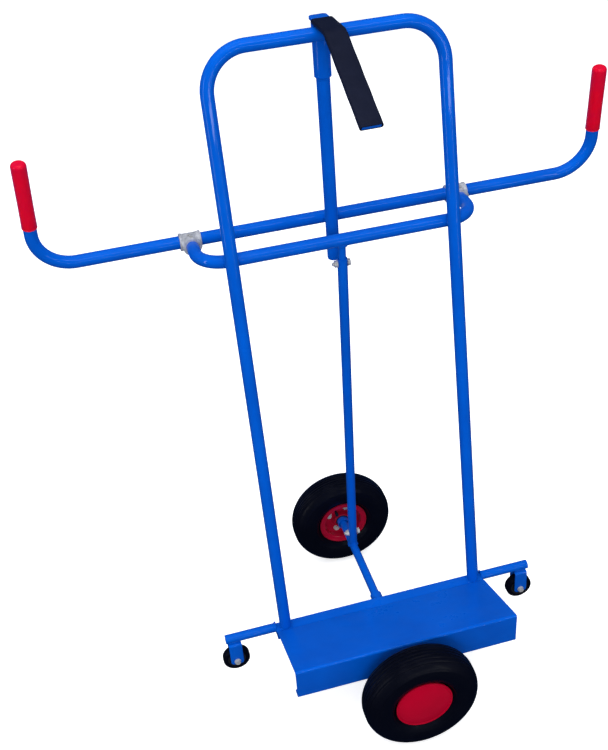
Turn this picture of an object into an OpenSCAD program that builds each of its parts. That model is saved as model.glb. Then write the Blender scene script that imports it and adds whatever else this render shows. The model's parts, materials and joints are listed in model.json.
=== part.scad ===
// Two-wheeled hand truck for boards and panels: a low tilted deck, a leaning tube frame with a
// wide tilting handle bar, a lift-and-turn clamping hook and two side support rollers.
// Frame: origin on the ground below the middle of the axle, +X along the deck, +Y to the back, +Z up.

/* [Main wheels] */
// Outside diameter of a main wheel
wheel_d = 256; // [250:1:264]
// Width of the tyre
wheel_w = 80; // [76:1:84]
// Distance between the middles of the two main wheels
track = 597; // [590:1:610]
// Diameter of the axle
axle_d = 20; // [20:1:21]
// Number of bolts that hold the two rim halves together
rim_bolt_count = 4; // [4:1:6]

/* [Deck] */
// Length of the deck along X
deck_l = 508; // [490:1:520]
// Height of the deck's front top edge above the ground
deck_front_h = 211.9; // [209:0.1:214]
// Slope of the deck down to the back, in degrees
deck_slope = 19.66; // [19:0.01:20]
// Height of the front lip
lip_h = 82; // [78:1:84]
// Thickness of the deck sheet
sheet_t = 3; // [2.5:0.1:3.5]

/* [Tube frame] */
// Outside diameter of the frame tube
tube_d = 26.9; // [26:0.1:27.5]
// Wall of the frame tube
tube_wall = 2.6; // [2:0.1:3]
// Distance between the middles of the two uprights
leg_gap = 462; // [450:1:470]
// Lean of the uprights to the back, in degrees
lean = 9.3; // [9:0.1:9.6]
// Distance from the foot of the uprights to the middle of the top bar, along the lean
upright_l = 1293.6; // [1290:0.1:1298]
// Bend radius of the two top corners, at the tube's middle
corner_r = 81; // [76:1:92]

/* [Handle bar] */
// Height of the handle bar and of the bow that carries it
bar_z = 1014; // [1008:1:1018]
// Distance of the handle bar behind the axle's middle
bar_y = 254; // [250:1:258]
// Distance between the middles of the two tee clamps
tee_gap = 580; // [574:1:586]
// Distance between the middles of the two hand arms at their bends
arm_gap = 1196; // [1180:1:1200]
// Tilt of the hand arms to the front, in degrees
arm_tilt = 8.4; // [6:0.1:10]
// Diameter of a grip
grip_d = 30.5; // [30:0.1:32]
// Length of a grip
grip_l = 143; // [130:1:150]

/* [Hook] */
// Height of the middle of the flat hook bar
hook_z = 1437.4; // [1437.2:0.1:1440]
// Width of the flat hook bar
hook_w = 35; // [30:1:36]
// Length of the hook's sloping arm
hook_arm_l = 208; // [190:1:220]
// Slope of the hook's arm, in degrees
hook_slope = 30.6; // [26:0.1:34]
// Turn of the hook about its rod as the truck stands, in degrees
hook_turn = 1.2; // [0:0.1:3]

/* [Side rollers] */
// Diameter of a side roller
roller_d = 64; // [60:1:66]
// Width of a side roller
roller_w = 22; // [20:1:22]
// Distance between the middles of the two side rollers
roller_gap = 707.4; // [700:0.1:715]
// Height of a side roller's middle above the ground
roller_z = 76; // [74:1:78]

/* [Hidden] */
$fn = 96;

// Fits: a running shaft, a part laid against another, and a drilled hole for a bolt
run = 0.05;
touch = 0.02;
eps = 0.01;

// Paint and material colours
paint = [0.0, 0.30, 0.80];
red = [0.72, 0.0, 0.10];
black = [0.06, 0.06, 0.09];
zinc = [0.75, 0.76, 0.78];

// Radii and heights worked out from the driving sizes
tube_r = tube_d / 2;
axle_r = axle_d / 2;
wheel_r = wheel_d / 2;
axle_z = wheel_r;
split_pin_y = track / 2 + 25;
sleeve_r = tube_r;

// Deck: folded sheet, outer fold radius and the return flange under the lip
fold_r = 5;
flange_l = 22;
deck_front_y = -229.7;
cross_depth = 32;
cross_h = 24;
cross_wall = 2.5;
cross_top = 144;
cross_y = -33;
deck_rear_y = cross_y - cross_depth / 2;
deck_rear_z = deck_front_h - (deck_rear_y - deck_front_y) * tan(deck_slope);
cap_t = 2;

// Uprights stand on the cross bar; the foot point lies on their centre line
foot_y = -33.9;
foot_z = 141.6;
function upright_y(z) = foot_y + (z - foot_z) * tan(lean);
top_y = foot_y + upright_l * sin(lean);
top_z = foot_z + upright_l * cos(lean);

// Bow behind the uprights
bow_y = upright_y(bar_z) + (tube_d + 2 * touch) / cos(lean);
bow_r = 57;
tee_x = tee_gap / 2;

// Tee clamps on the bow's ends
tee_r = 18;
tee_l = 45;
tee_mouth_y = 222;
tee_mouth_r = 19.5;
tee_mouth_l = 5;
bow_end_y = bar_y - tube_r - 2.5;
screw_r = 4;
screw_x = 3;
screw_tilt = 32;
screw_y = 230;

// Strut from the bow down to the axle
strut_r = 10.65;
strut_wall = 2;
stub_r = 8;
strut_foot_y = 188;
strut_lean = atan((strut_foot_y - bow_y) / (bar_z - axle_z));
strut_l = (bar_z - axle_z) / cos(strut_lean);
strut_top = 43.5;
stub_l = 66;
strut_bolt_at = 55;
foot_stub_l = 62;
foot_bolt_up = 46;
strut_bolt_places = [strut_bolt_at, strut_l - foot_bolt_up];
m8_r = 4;
m8_hex_d = 15;
m8_head_h = 5.3;
m8_nut_h = 6.5;

// Hook: rod, guide and bush share one upright axis behind the top bar
rod_y = top_y + tube_r + 33.7 / 2 + touch;
guide_r = 33.7 / 2;
guide_low = 1326;
guide_top = 1431;
bush_wall = 0.7;
bush_r = tube_r + run + bush_wall;
bush_flange_t = 3;
rod_low = 937.5;
rod_cap_h = 6;
bar_t = 6;
rod_top = hook_z - bar_t / 2;
hook_back_y = rod_y + 17;
knee_y = 121;
knee_r = 30;
sleeve_back_y = 189.3;
sleeve_t = 10.6;
sleeve_w = hook_w + 8.6;

// Handle bar ends
arm_r = 76;
arm_bend = 93;
arm_l = 161;
grip_end_t = 4;

// Wheel section, measured from the wheel's middle plane (w) and its axis (r)
tyre_mid_r = wheel_r - 34;
tyre_half_h = 34.5;
bead_r = 50;
rim_half_w = 22;
rim_sheet = 2.5;
rim_flange_r = 60;
hub_r = 21;
hub_bore_r = 17;
hub_half_l = 18;
rim_bolt_r = 34.5;
rim_bolt_start = 67;
valve_share = 0.55;
cap_r = 63.6;
cap_edge_w = 29;
cap_crown_w = 38;
groove_w = [-21, -7, 7, 21];

// Side rollers
outrigger_r = 10.65;
outrigger_y = -26;
outrigger_z = 139;
outrigger_end = 373;
roller_x = roller_gap / 2;
fork_w = 30;
fork_t = 3;
fork_gap = roller_w + 3;
fork_low = roller_z - 9;

// ---- Helpers ---------------------------------------------------------------------------------

// Points of an arc about c, from angle a to angle b
function arc(c, r, a, b, n = 8) = [for (i = [0:n]) c + r * [cos(a + (b - a) * i / n), sin(a + (b - a) * i / n)]];

// A straight tube along +Z
module tube(r, wall, l) {
    difference() {
        cylinder(r = r, h = l);
        translate([0, 0, -1]) cylinder(r = r - wall, h = l + 2);
    }
}

// A tube bend in the XY plane, about the origin, from the +X axis through the given angle
module bend(r, wall, bend_r, angle) {
    rotate_extrude(angle = angle)
        translate([bend_r, 0])
            difference() {
                circle(r);
                circle(r - wall);
            }
}

// A tube along X between two places
module tube_x(x0, x1, r, wall) {
    translate([x0, 0, 0]) rotate([0, 90, 0]) tube(r, wall, x1 - x0);
}

// A tube along Y between two places
module tube_y(y0, y1, r, wall) {
    translate([0, y0, 0]) rotate([-90, 0, 0]) tube(r, wall, y1 - y0);
}

// A plain round bar along Y between two places
module rod_y_axis(y0, y1, r) {
    translate([0, y0, 0]) rotate([-90, 0, 0]) cylinder(r = r, h = y1 - y0);
}

// Puts a YZ outline, given as [y, z] points, into the model with the given width along X
module across(width) {
    translate([-width / 2, 0, 0])
        rotate([90, 0, 90]) linear_extrude(height = width) children();
}

// A hexagon head or nut along +Z, with a hole if a bore radius is given
module hex(across_corners, h, bore = 0) {
    difference() {
        cylinder(d = across_corners, h = h, $fn = 6);
        if (bore > 0)
            translate([0, 0, -1]) cylinder(r = bore, h = h + 2);
    }
}

// Both sides of the truck
module both_sides() {
    children();
    mirror([1, 0, 0]) children();
}

// ---- Deck and its supports -------------------------------------------------------------------

// Outline of the folded sheet at a depth d below its outer face
function deck_normal() = [sin(deck_slope), cos(deck_slope)];
function top_fold() = [deck_front_y + fold_r, deck_front_h - fold_r * (1 + sin(deck_slope)) / cos(deck_slope)];
function low_fold() = [deck_front_y + fold_r, deck_front_h - lip_h + fold_r];
function deck_face(d) = concat(
    [[deck_rear_y, deck_rear_z - d / cos(deck_slope)]],
    arc(top_fold(), fold_r - d, 90 - deck_slope, 180),
    arc(low_fold(), fold_r - d, 180, 270),
    [[deck_front_y + flange_l, deck_front_h - lip_h + d]]);

// Folded deck sheet, notched over the axle sleeve
module deck() {
    outer = deck_face(0);
    inner = deck_face(sheet_t);
    color(paint)
        difference() {
            across(deck_l)
                polygon(concat(outer, [for (i = [len(inner) - 1:-1:0]) inner[i]]));
            translate([0, 0, axle_z])
                rod_y_axis(deck_front_y - 1, deck_front_y + flange_l + 1, sleeve_r + touch);
        }
}

// Upright web between the axle sleeve and the underside of the deck
module deck_web() {
    web_t = 4;
    web_front = deck_front_y + flange_l + 4;
    web_rear = deck_rear_y - 2;
    under = sheet_t / cos(deck_slope) + touch;
    color(paint)
        across(web_t)
            polygon([
                [web_front, axle_z + sleeve_r + touch],
                [web_rear, axle_z + sleeve_r + touch],
                [web_rear, deck_front_h - (web_rear - deck_front_y) * tan(deck_slope) - under],
                [web_front, deck_front_h - (web_front - deck_front_y) * tan(deck_slope) - under]
            ]);
}

// Rectangular tube under the uprights, notched over the axle sleeve
module rear_cross_bar() {
    bar_l = deck_l - 2 * cap_t;
    color(paint)
        difference() {
            translate([-bar_l / 2, cross_y - cross_depth / 2, cross_top - cross_h])
                cube([bar_l, cross_depth, cross_h]);
            translate([-bar_l / 2 - 1, cross_y - cross_depth / 2 + cross_wall, cross_top - cross_h + cross_wall])
                cube([bar_l + 2, cross_depth - 2 * cross_wall, cross_h - 2 * cross_wall]);
            translate([0, 0, axle_z]) rod_y_axis(cross_y - cross_depth, cross_y + cross_depth, sleeve_r + touch);
            translate([-sleeve_r - touch, cross_y - cross_depth, cross_top - cross_h - 1])
                cube([2 * (sleeve_r + touch), 2 * cross_depth, axle_z - cross_top + cross_h + 1]);
        }
}

module cross_bar_end_plates() {
    color(paint)
        both_sides()
            translate([deck_l / 2 - cap_t + touch, cross_y - cross_depth / 2, cross_top - cross_h])
                cube([cap_t - touch, cross_depth, cross_h]);
}

module axle_sleeve() {
    sleeve_front = deck_front_y - 12;
    sleeve_back = 6;
    color(paint)
        translate([0, 0, axle_z])
            tube_y(sleeve_front, sleeve_back, sleeve_r, sleeve_r - axle_r - run);
}

module axle() {
    half_l = track / 2 + 28;
    color(paint)
        translate([0, 0, axle_z])
            difference() {
                rod_y_axis(-half_l, half_l, axle_r);
                for (side = [-1, 1])
                    translate([0, side * split_pin_y, -axle_r - 1]) cylinder(r = 2.1, h = axle_d + 2);
            }
}

// Open collars on the axle, against the inner end of each hub
module axle_collars() {
    collar_l = 12;
    collar_r = 14.6;
    recess = 8;
    inner_y = track / 2 - hub_half_l - 0.6 - collar_l;
    color(paint)
        for (side = [-1, 1])
            translate([0, side * inner_y, axle_z])
                rotate([side * -90, 0, 0])
                    difference() {
                        cylinder(r = collar_r, h = collar_l);
                        translate([0, 0, -1]) cylinder(r = axle_r + run, h = collar_l + 2);
                        translate([0, 0, -1]) cylinder(r = 12.6, h = recess + 1);
                    }
}

module axle_washers() {
    washer_y = track / 2 + hub_half_l + 0.6;
    color(zinc)
        for (side = [-1, 1])
            translate([0, side * washer_y, axle_z])
                rotate([side * -90, 0, 0]) tube(16, 16 - axle_r - run, 2.5);
}

module axle_split_pins() {
    color(zinc)
        for (side = [-1, 1])
            translate([0, side * split_pin_y, axle_z - 14])
                union() {
                    cylinder(r = 2, h = 30);
                    translate([0, 0, 28]) sphere(r = 3.2, $fn = 32);
                }
}

// ---- Tube frame ------------------------------------------------------------------------------

module upright_frame() {
    half = leg_gap / 2;
    leg_l = upright_l - corner_r;
    color(paint)
        difference() {
            translate([0, foot_y, foot_z]) rotate([-lean, 0, 0])
                union() {
                    both_sides() {
                        translate([half, 0, 0]) tube(tube_r, tube_wall, leg_l);
                        translate([half - corner_r, 0, leg_l])
                            rotate([90, 0, 0]) bend(tube_r, tube_wall, corner_r, 90);
                    }
                    translate([0, 0, upright_l])
                        tube_x(-half + corner_r, half - corner_r, tube_r, tube_wall);
                }
            translate([-half - 50, foot_y - 50, foot_z - 50])
                cube([leg_gap + 100, 100, 50 + cross_top - foot_z + touch]);
        }
}

// Upright tube behind the top bar in which the hook rod turns and slides
module guide_tube() {
    bore_r = bush_r + run;
    color(paint)
        translate([0, rod_y, 0])
            rotate_extrude()
                polygon([
                    [bore_r, guide_low + 2], [guide_r - 3, guide_low], [guide_r, guide_low + 3],
                    [guide_r, guide_top], [bore_r, guide_top]
                ]);
}

module bow() {
    straight = tee_x - bow_r;
    color(paint)
        translate([0, 0, bar_z]) {
            translate([0, bow_y, 0]) tube_x(-straight, straight, tube_r, tube_wall);
            both_sides() {
                translate([straight, bow_y + bow_r, 0]) rotate([0, 0, -90]) bend(tube_r, tube_wall, bow_r, 90);
                translate([tee_x, 0, 0]) tube_y(bow_y + bow_r, bow_end_y, tube_r, tube_wall);
            }
        }
}

// ---- Strut between the bow and the axle ------------------------------------------------------

// Local frame of the strut: origin on the bow's middle, +Z down along the strut
module along_strut() {
    translate([0, bow_y, bar_z]) rotate([180 + strut_lean, 0, 0]) children();
}

// Cross hole for a strut bolt, through a tube or bar of radius r
module strut_bolt_hole(at, r) {
    translate([-r - 1, 0, at]) rotate([0, 90, 0]) cylinder(r = m8_r + run, h = 2 * r + 2);
}

// Stub welded under the bow; the strut slides over it
module strut_stub() {
    color(paint)
        difference() {
            along_strut()
                difference() {
                    cylinder(r = stub_r, h = stub_l);
                    strut_bolt_hole(strut_bolt_at, stub_r);
                }
            translate([0, bow_y, bar_z]) rotate([0, 90, 0]) cylinder(r = tube_r + touch, h = 60, center = true);
        }
}

// Stub welded on the axle, inside the foot of the strut
module strut_foot_stub() {
    color(paint)
        difference() {
            along_strut()
                difference() {
                    translate([0, 0, strut_l - foot_stub_l]) cylinder(r = stub_r, h = foot_stub_l);
                    strut_bolt_hole(strut_l - foot_bolt_up, stub_r);
                }
            translate([0, 0, axle_z]) rod_y_axis(strut_foot_y - 60, strut_foot_y + 60, axle_r + touch);
        }
}

module support_strut() {
    color(paint)
        difference() {
            along_strut()
                difference() {
                    translate([0, 0, strut_top]) tube(strut_r, strut_wall, strut_l - strut_top);
                    for (at = strut_bolt_places)
                        strut_bolt_hole(at, strut_r);
                }
            translate([0, 0, axle_z]) rod_y_axis(strut_foot_y - 60, strut_foot_y + 60, axle_r + touch);
        }
}

// Cross bolts through the strut and its two stubs, with the nuts on the left
module strut_bolts() {
    shank_l = 2 * strut_r + m8_nut_h + 5;
    color(zinc)
        along_strut()
            for (at = strut_bolt_places)
                translate([strut_r + touch, 0, at]) {
                    rotate([0, 90, 0]) hex(m8_hex_d, m8_head_h);
                    translate([-shank_l, 0, 0]) rotate([0, 90, 0]) cylinder(r = m8_r, h = shank_l);
                }
}

module strut_nuts() {
    color(zinc)
        along_strut()
            for (at = strut_bolt_places)
                translate([-strut_r - touch - m8_nut_h, 0, at])
                    rotate([0, 90, 0]) hex(m8_hex_d, m8_nut_h, m8_r + touch);
}

// ---- Tee clamps ------------------------------------------------------------------------------

module tee() {
    color(zinc)
        translate([tee_x, bar_y, bar_z])
            difference() {
                union() {
                    translate([-tee_l / 2, 0, 0]) rotate([0, 90, 0]) cylinder(r = tee_r, h = tee_l);
                    rod_y_axis(tee_mouth_y - bar_y, 0, tee_r - 0.4);
                    rod_y_axis(tee_mouth_y - bar_y, tee_mouth_y + tee_mouth_l - bar_y, tee_mouth_r);
                    screw_place_sleeve() cylinder(r = 7.5, h = tee_r + 2.5);
                    screw_place_mouth() cylinder(r = 7.5, h = tee_r + 2.5);
                }
                translate([-tee_l, 0, 0]) rotate([0, 90, 0]) cylinder(r = tube_r + run, h = 2 * tee_l);
                rod_y_axis(tee_mouth_y - bar_y - 1, bow_end_y + 1 - bar_y, tube_r + run);
                screw_place_sleeve() cylinder(r = screw_r + run, h = tee_r + 5);
                screw_place_mouth() cylinder(r = screw_r + run, h = tee_r + 5);
            }
}

// Places of the two set screws of a tee, in the tee's own frame, +Z out of the hole
module screw_place_sleeve() {
    translate([screw_x, 0, 0]) rotate([screw_tilt, 0, 0]) children();
}

module screw_place_mouth() {
    translate([0, screw_y - bar_y, 0]) children();
}

module tee_left() { mirror([1, 0, 0]) tee(); }
module tee_right() { tee(); }

// Hexagon-socket set screws that clamp the bars in the tees
module set_screw() {
    screw_l = 6.2;
    socket_d = 4.6;
    translate([0, 0, tube_r + touch])
        difference() {
            cylinder(r = screw_r, h = screw_l);
            translate([0, 0, screw_l - 3]) cylinder(d = socket_d, h = 4, $fn = 6);
        }
}

module tee_set_screws() {
    color(zinc)
        both_sides()
            translate([tee_x, bar_y, bar_z]) {
                screw_place_sleeve() set_screw();
                screw_place_mouth() set_screw();
            }
}

// ---- Side rollers ----------------------------------------------------------------------------

module outrigger() {
    color(paint)
        translate([0, outrigger_y, outrigger_z])
            tube_x(deck_l / 2 + touch, outrigger_end - 2, outrigger_r, 2);
}

module outrigger_left() { mirror([1, 0, 0]) outrigger(); }
module outrigger_right() { outrigger(); }

module outrigger_end_discs() {
    color(paint)
        both_sides()
            translate([outrigger_end - 2 + touch, outrigger_y, outrigger_z])
                rotate([0, 90, 0]) cylinder(r = outrigger_r, h = 2 - touch);
}

// U-shaped fork welded under the end of an outrigger
module fork() {
    fork_depth = fork_gap + 2 * fork_t;
    crown_z = outrigger_z - outrigger_r + 3;
    color(paint)
        translate([roller_x, outrigger_y, 0])
            difference() {
                translate([-fork_w / 2, -fork_depth / 2, fork_low]) cube([fork_w, fork_depth, crown_z - fork_low]);
                translate([-fork_w, -fork_gap / 2, fork_low - 1])
                    cube([2 * fork_w, fork_gap, crown_z - fork_low - 6 + 1]);
                translate([0, 0, roller_z]) rod_y_axis(-fork_depth, fork_depth, m8_r + run);
                translate([-fork_w, 0, outrigger_z]) rotate([0, 90, 0]) cylinder(r = outrigger_r + touch, h = 2 * fork_w);
                for (side = [-1, 1])
                    translate([side * fork_w / 2, -fork_depth, fork_low])
                        rotate([-90, 0, 0]) cylinder(r = 6, h = 2 * fork_depth, $fn = 4);
            }
}

module fork_left() { mirror([1, 0, 0]) fork(); }
module fork_right() { fork(); }

module roller_bolts() {
    face = fork_gap / 2 + fork_t + touch;
    color(zinc)
        both_sides()
            translate([roller_x, outrigger_y, roller_z]) {
                rotate([90, 0, 0]) translate([0, 0, face]) hex(m8_hex_d - 2, m8_head_h);
                rod_y_axis(-face, face + 9, m8_r);
            }
}

module roller_nuts() {
    face = fork_gap / 2 + fork_t + touch;
    color(zinc)
        both_sides()
            translate([roller_x, outrigger_y + face, roller_z])
                rotate([-90, 0, 0]) hex(m8_hex_d - 2, m8_nut_h, m8_r + touch);
}

// Rounded black tread on a plastic core, turning on the fork bolt
module roller_tyre() {
    r = roller_d / 2;
    edge = 5;
    half = roller_w / 2;
    core_r = 21;
    color(black)
        translate([roller_x, outrigger_y, roller_z]) rotate([90, 0, 0])
            rotate_extrude()
                polygon(concat(
                    [[core_r + touch, -half + 1], [core_r + touch, half - 1]],
                    arc([r - edge, half - edge], edge, 90, 0),
                    arc([r - edge, -half + edge], edge, 0, -90)));
}

module roller_core() {
    half = roller_w / 2;
    color(black)
        translate([roller_x, outrigger_y, roller_z]) rotate([90, 0, 0])
            rotate_extrude()
                polygon([
                    [m8_r + run, -half - 0.8], [9, -half - 0.8], [9, -half + 3], [21, -half + 3],
                    [21, half - 3], [9, half - 3], [9, half + 0.8], [m8_r + run, half + 0.8]
                ]);
}

module roller_tyre_left() { mirror([1, 0, 0]) roller_tyre(); }
module roller_core_left() { mirror([1, 0, 0]) roller_core(); }
module roller_tyre_right() { roller_tyre(); }
module roller_core_right() { roller_core(); }

// ---- Main wheels -----------------------------------------------------------------------------

// Puts a wheel part on the axle; its +Z points outwards, away from the deck.
// side is -1 for the front wheel and 1 for the rear wheel.
module on_wheel(side) {
    translate([0, side * track / 2, axle_z]) rotate([side * -90, 0, 0]) children();
}

// Tyre section: [r, w] points of a rounded oval with half width a and half height b,
// cut off flat at the tread; from the bead at angle start, round the tread, to the other bead
function oval(a, b, top_r, start, n = 24) = [
    for (i = [0:n])
        let (t = start + (180 - 2 * start) * i / n,
             c = cos(t), s = sin(t))
        [min(top_r, tyre_mid_r + b * sign(s) * pow(abs(s), 0.85)), a * sign(c) * pow(abs(c), 0.85)]
];

module tyre(side) {
    half = wheel_w / 2;
    wall = 6;
    groove_d = 2.5;
    groove_half = 1.3;
    color(black)
        on_wheel(side)
            difference() {
                rotate_extrude()
                    polygon(concat(
                        [[bead_r + touch, rim_half_w - 0.5]],
                        [[rim_flange_r - 1, rim_half_w - 0.5]],
                        oval(half, tyre_half_h, wheel_r, -58),
                        [[rim_flange_r - 1, -rim_half_w + 0.5]],
                        [[bead_r + touch, -rim_half_w + 0.5]]));
                rotate_extrude()
                    polygon(concat(
                        [[bead_r - 1, rim_half_w - 7]],
                        oval(half - wall, tyre_half_h - wall - 2, wheel_r, -50),
                        [[bead_r - 1, -rim_half_w + 7]]));
                for (w = groove_w)
                    translate([0, 0, w - groove_half])
                        difference() {
                            cylinder(r = wheel_r + 1, h = 2 * groove_half);
                            translate([0, 0, -1]) cylinder(r = wheel_r - groove_d - abs(w) * 0.12, h = 4 * groove_half);
                        }
            }
}

// Air tube inside the tyre, drawn as one inflated ring
module inner_tube(side) {
    half = wheel_w / 2 - 6.5;
    color(black)
        on_wheel(side)
            rotate_extrude()
                difference() {
                    polygon(oval(half, tyre_half_h - 8.6, wheel_r, -46));
                    polygon(oval(half - 2, tyre_half_h - 10.6, wheel_r, -44));
                }
}

// One pressed half of the rim: a bolted disc, the barrel and the rolled flange.
// out is 1 for the half that faces away from the deck.
module rim_half(side, out) {
    section = [
        [hub_r + touch, touch], [bead_r, touch], [bead_r, rim_half_w],
        [rim_flange_r, rim_half_w], [rim_flange_r + 2, rim_half_w + 2],
        [rim_flange_r + 2, rim_half_w + 5], [rim_flange_r, rim_half_w + 5],
        [rim_flange_r - 1, rim_half_w + rim_sheet], [bead_r - rim_sheet, rim_half_w + rim_sheet],
        [bead_r - rim_sheet, rim_sheet + 2.4], [bead_r - rim_sheet - 2.4, rim_sheet],
        [hub_r + touch, rim_sheet]
    ];
    color(red)
        on_wheel(side)
            mirror([0, 0, out > 0 ? 0 : 1])
                difference() {
                    rotate_extrude() polygon(section);
                    rim_bolt_places(side) translate([0, 0, -1]) cylinder(r = m8_r + run, h = 10);
                    if (out < 0)
                        valve_place(side) translate([0, 0, -1]) cylinder(r = 4.3, h = 10);
                }
}

// Places round the bolt circle, counted from the truck's +X side upwards
module rim_bolt_places(side) {
    for (i = [0:rim_bolt_count - 1])
        rotate([0, 0, -side * (rim_bolt_start + i * 360 / rim_bolt_count)])
            translate([rim_bolt_r, 0, 0]) children();
}

// Place of the valve, between the first two bolts
module valve_place(side) {
    rotate([0, 0, -side * (rim_bolt_start + valve_share * 360 / rim_bolt_count)])
        translate([rim_bolt_r, 0, 0]) children();
}

module hub(side) {
    color(red)
        on_wheel(side)
            translate([0, 0, -hub_half_l]) tube(hub_r, hub_r - hub_bore_r, 2 * hub_half_l);
}

// Two plain-roller bearings in each hub
module bearings(side) {
    bearing_w = 12;
    color(zinc)
        on_wheel(side)
            for (low = [-hub_half_l + 0.2, hub_half_l - 0.2 - bearing_w])
                translate([0, 0, low]) tube(hub_bore_r - touch, hub_bore_r - touch - axle_r - run, bearing_w);
}

// Bolts through both rim halves, heads on the deck side and nuts outside
module rim_bolts(side) {
    grip = rim_sheet + touch;
    shank = 2 * grip + m8_nut_h + 2;
    color(zinc)
        on_wheel(side)
            rim_bolt_places(side) {
                translate([0, 0, -grip - 4.6]) hex(13, 4.6);
                translate([0, 0, -grip]) cylinder(r = m8_r, h = shank);
                translate([0, 0, grip]) hex(13, m8_nut_h);
            }
}

// Valve stem that comes through the inner rim half
module valve(side) {
    color(black)
        on_wheel(side)
            valve_place(side) translate([0, 0, -28])
                union() {
                    cylinder(r = 2.6, h = 27.6);
                    translate([0, 0, -1]) cylinder(r = 3.9, h = 9);
                    translate([0, 0, 20]) cylinder(r = 4.2, h = 7.6);
                }
}

// Domed cover with a rolled edge that snaps on the outer rim flange
module hub_cap(side) {
    dome_r = (pow(cap_r - 4, 2) + pow(cap_crown_w - cap_edge_w - 2, 2)) / (2 * (cap_crown_w - cap_edge_w - 2));
    sweep = asin((cap_r - 4) / dome_r);
    crown = [0, cap_crown_w - dome_r];
    shell = 2;
    color(red)
        on_wheel(side)
            rotate_extrude()
                polygon(concat(
                    [[0, cap_crown_w - shell]],
                    arc(crown, dome_r - shell, 90, 90 - sweep * 0.97, 10),
                    [[cap_r - 2.5, cap_edge_w - 1.5], [cap_r - 0.5, cap_edge_w - 1.5]],
                    arc([cap_r - 1.7, cap_edge_w + 0.8], 1.7, 0, 150, 6),
                    [[cap_r - 4, cap_edge_w + 1.2]],
                    arc(crown, dome_r, 90 - sweep, 90, 12)));
}

module front_tyre() { tyre(-1); }
module front_inner_tube() { inner_tube(-1); }
module front_rim_outer() { rim_half(-1, 1); }
module front_rim_inner() { rim_half(-1, -1); }
module front_hub() { hub(-1); }
module front_bearings() { bearings(-1); }
module front_rim_bolts() { rim_bolts(-1); }
module front_valve() { valve(-1); }
module front_hub_cap() { hub_cap(-1); }
module rear_tyre() { tyre(1); }
module rear_inner_tube() { inner_tube(1); }
module rear_rim_outer() { rim_half(1, 1); }
module rear_rim_inner() { rim_half(1, -1); }
module rear_hub() { hub(1); }
module rear_bearings() { bearings(1); }
module rear_rim_bolts() { rim_bolts(1); }
module rear_valve() { valve(1); }
module rear_hub_cap() { hub_cap(1); }

// ---- Hook ------------------------------------------------------------------------------------

// Thin liner that turns with the rod, with a flange on top of the guide tube
module guide_bush() {
    color(black)
        translate([0, rod_y, 0]) {
            translate([0, 0, guide_low + 6]) tube(bush_r, bush_wall, guide_top + run - guide_low - 6);
            translate([0, 0, guide_top + run]) tube(guide_r - 1, guide_r - 1 - tube_r - run, bush_flange_t);
        }
}

module hook_rod() {
    color(paint)
        translate([0, rod_y, rod_low + rod_cap_h])
            tube(tube_r, tube_wall, rod_top - touch - rod_low - rod_cap_h);
}

module hook_rod_cap() {
    edge = 4;
    color(paint)
        translate([0, rod_y, rod_low])
            rotate_extrude()
                polygon(concat(
                    [[0, 0]],
                    arc([tube_r - edge, edge], edge, -90, 0, 6),
                    [[tube_r, rod_cap_h - touch], [0, rod_cap_h - touch]]));
}

// Outline of the bent flat bar, grown by d on both faces, from the place back_y to the arm's end
function hook_outline(d, back_y) = let (
    upper = hook_z + d,
    lower = hook_z - d,
    turn = hook_slope,
    centre = [knee_y, hook_z - knee_r - bar_t / 2],
    dir = [-cos(turn), -sin(turn)],
    up = [-sin(turn), cos(turn)],
    bend_end = centre + (knee_r + bar_t / 2) * up,
    tip = bend_end + hook_arm_l * dir)
    concat(
        [[back_y, lower], [back_y, upper]],
        arc(centre, knee_r + bar_t / 2 + d, 90, 90 + turn, 6),
        [tip + d * up, tip - d * up],
        arc(centre, knee_r + bar_t / 2 - d, 90 + turn, 90, 6));

module hook_bar() {
    color(paint) turned_on_rod() across(hook_w) polygon(hook_outline(bar_t / 2, hook_back_y));
}

// Rubber sleeve pushed over the hook bar, open at its lower end
module hook_sleeve() {
    color(black)
        turned_on_rod()
            difference() {
                across(sleeve_w) polygon(hook_outline(sleeve_t / 2, sleeve_back_y));
                across(hook_w + 2 * touch) polygon(hook_outline(bar_t / 2 + touch, sleeve_back_y + 20));
                tip_cut();
            }
}

// Turns a piece of the hook about the rod by the hook's standing turn
module turned_on_rod() {
    translate([0, rod_y, 0]) rotate([0, 0, hook_turn]) translate([0, -rod_y, 0]) children();
}

// Trims the sleeve square just inside the bar's end so that the bar's end shows
module tip_cut() {
    tip_y = knee_y - (knee_r + bar_t / 2) * sin(hook_slope) - hook_arm_l * cos(hook_slope);
    tip_z = hook_z - (knee_r + bar_t / 2) * (1 - cos(hook_slope)) - hook_arm_l * sin(hook_slope);
    translate([-hook_w, tip_y, tip_z]) rotate([hook_slope, 0, 0])
        translate([0, -20, -20]) cube([2 * hook_w, 20, 40]);
}

// ---- Handle bar ------------------------------------------------------------------------------

// Local frame of a hand arm: origin at the end of its bend, +Z along the arm to its end
module on_arm() {
    bend_x = arm_gap / 2 - arm_r * sin(arm_bend);
    translate([0, bar_y, bar_z]) rotate([arm_tilt, 0, 0])
        translate([bend_x + arm_r * sin(arm_bend), 0, arm_r * (1 - cos(arm_bend))])
            rotate([0, 90 - arm_bend, 0]) children();
}

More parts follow.
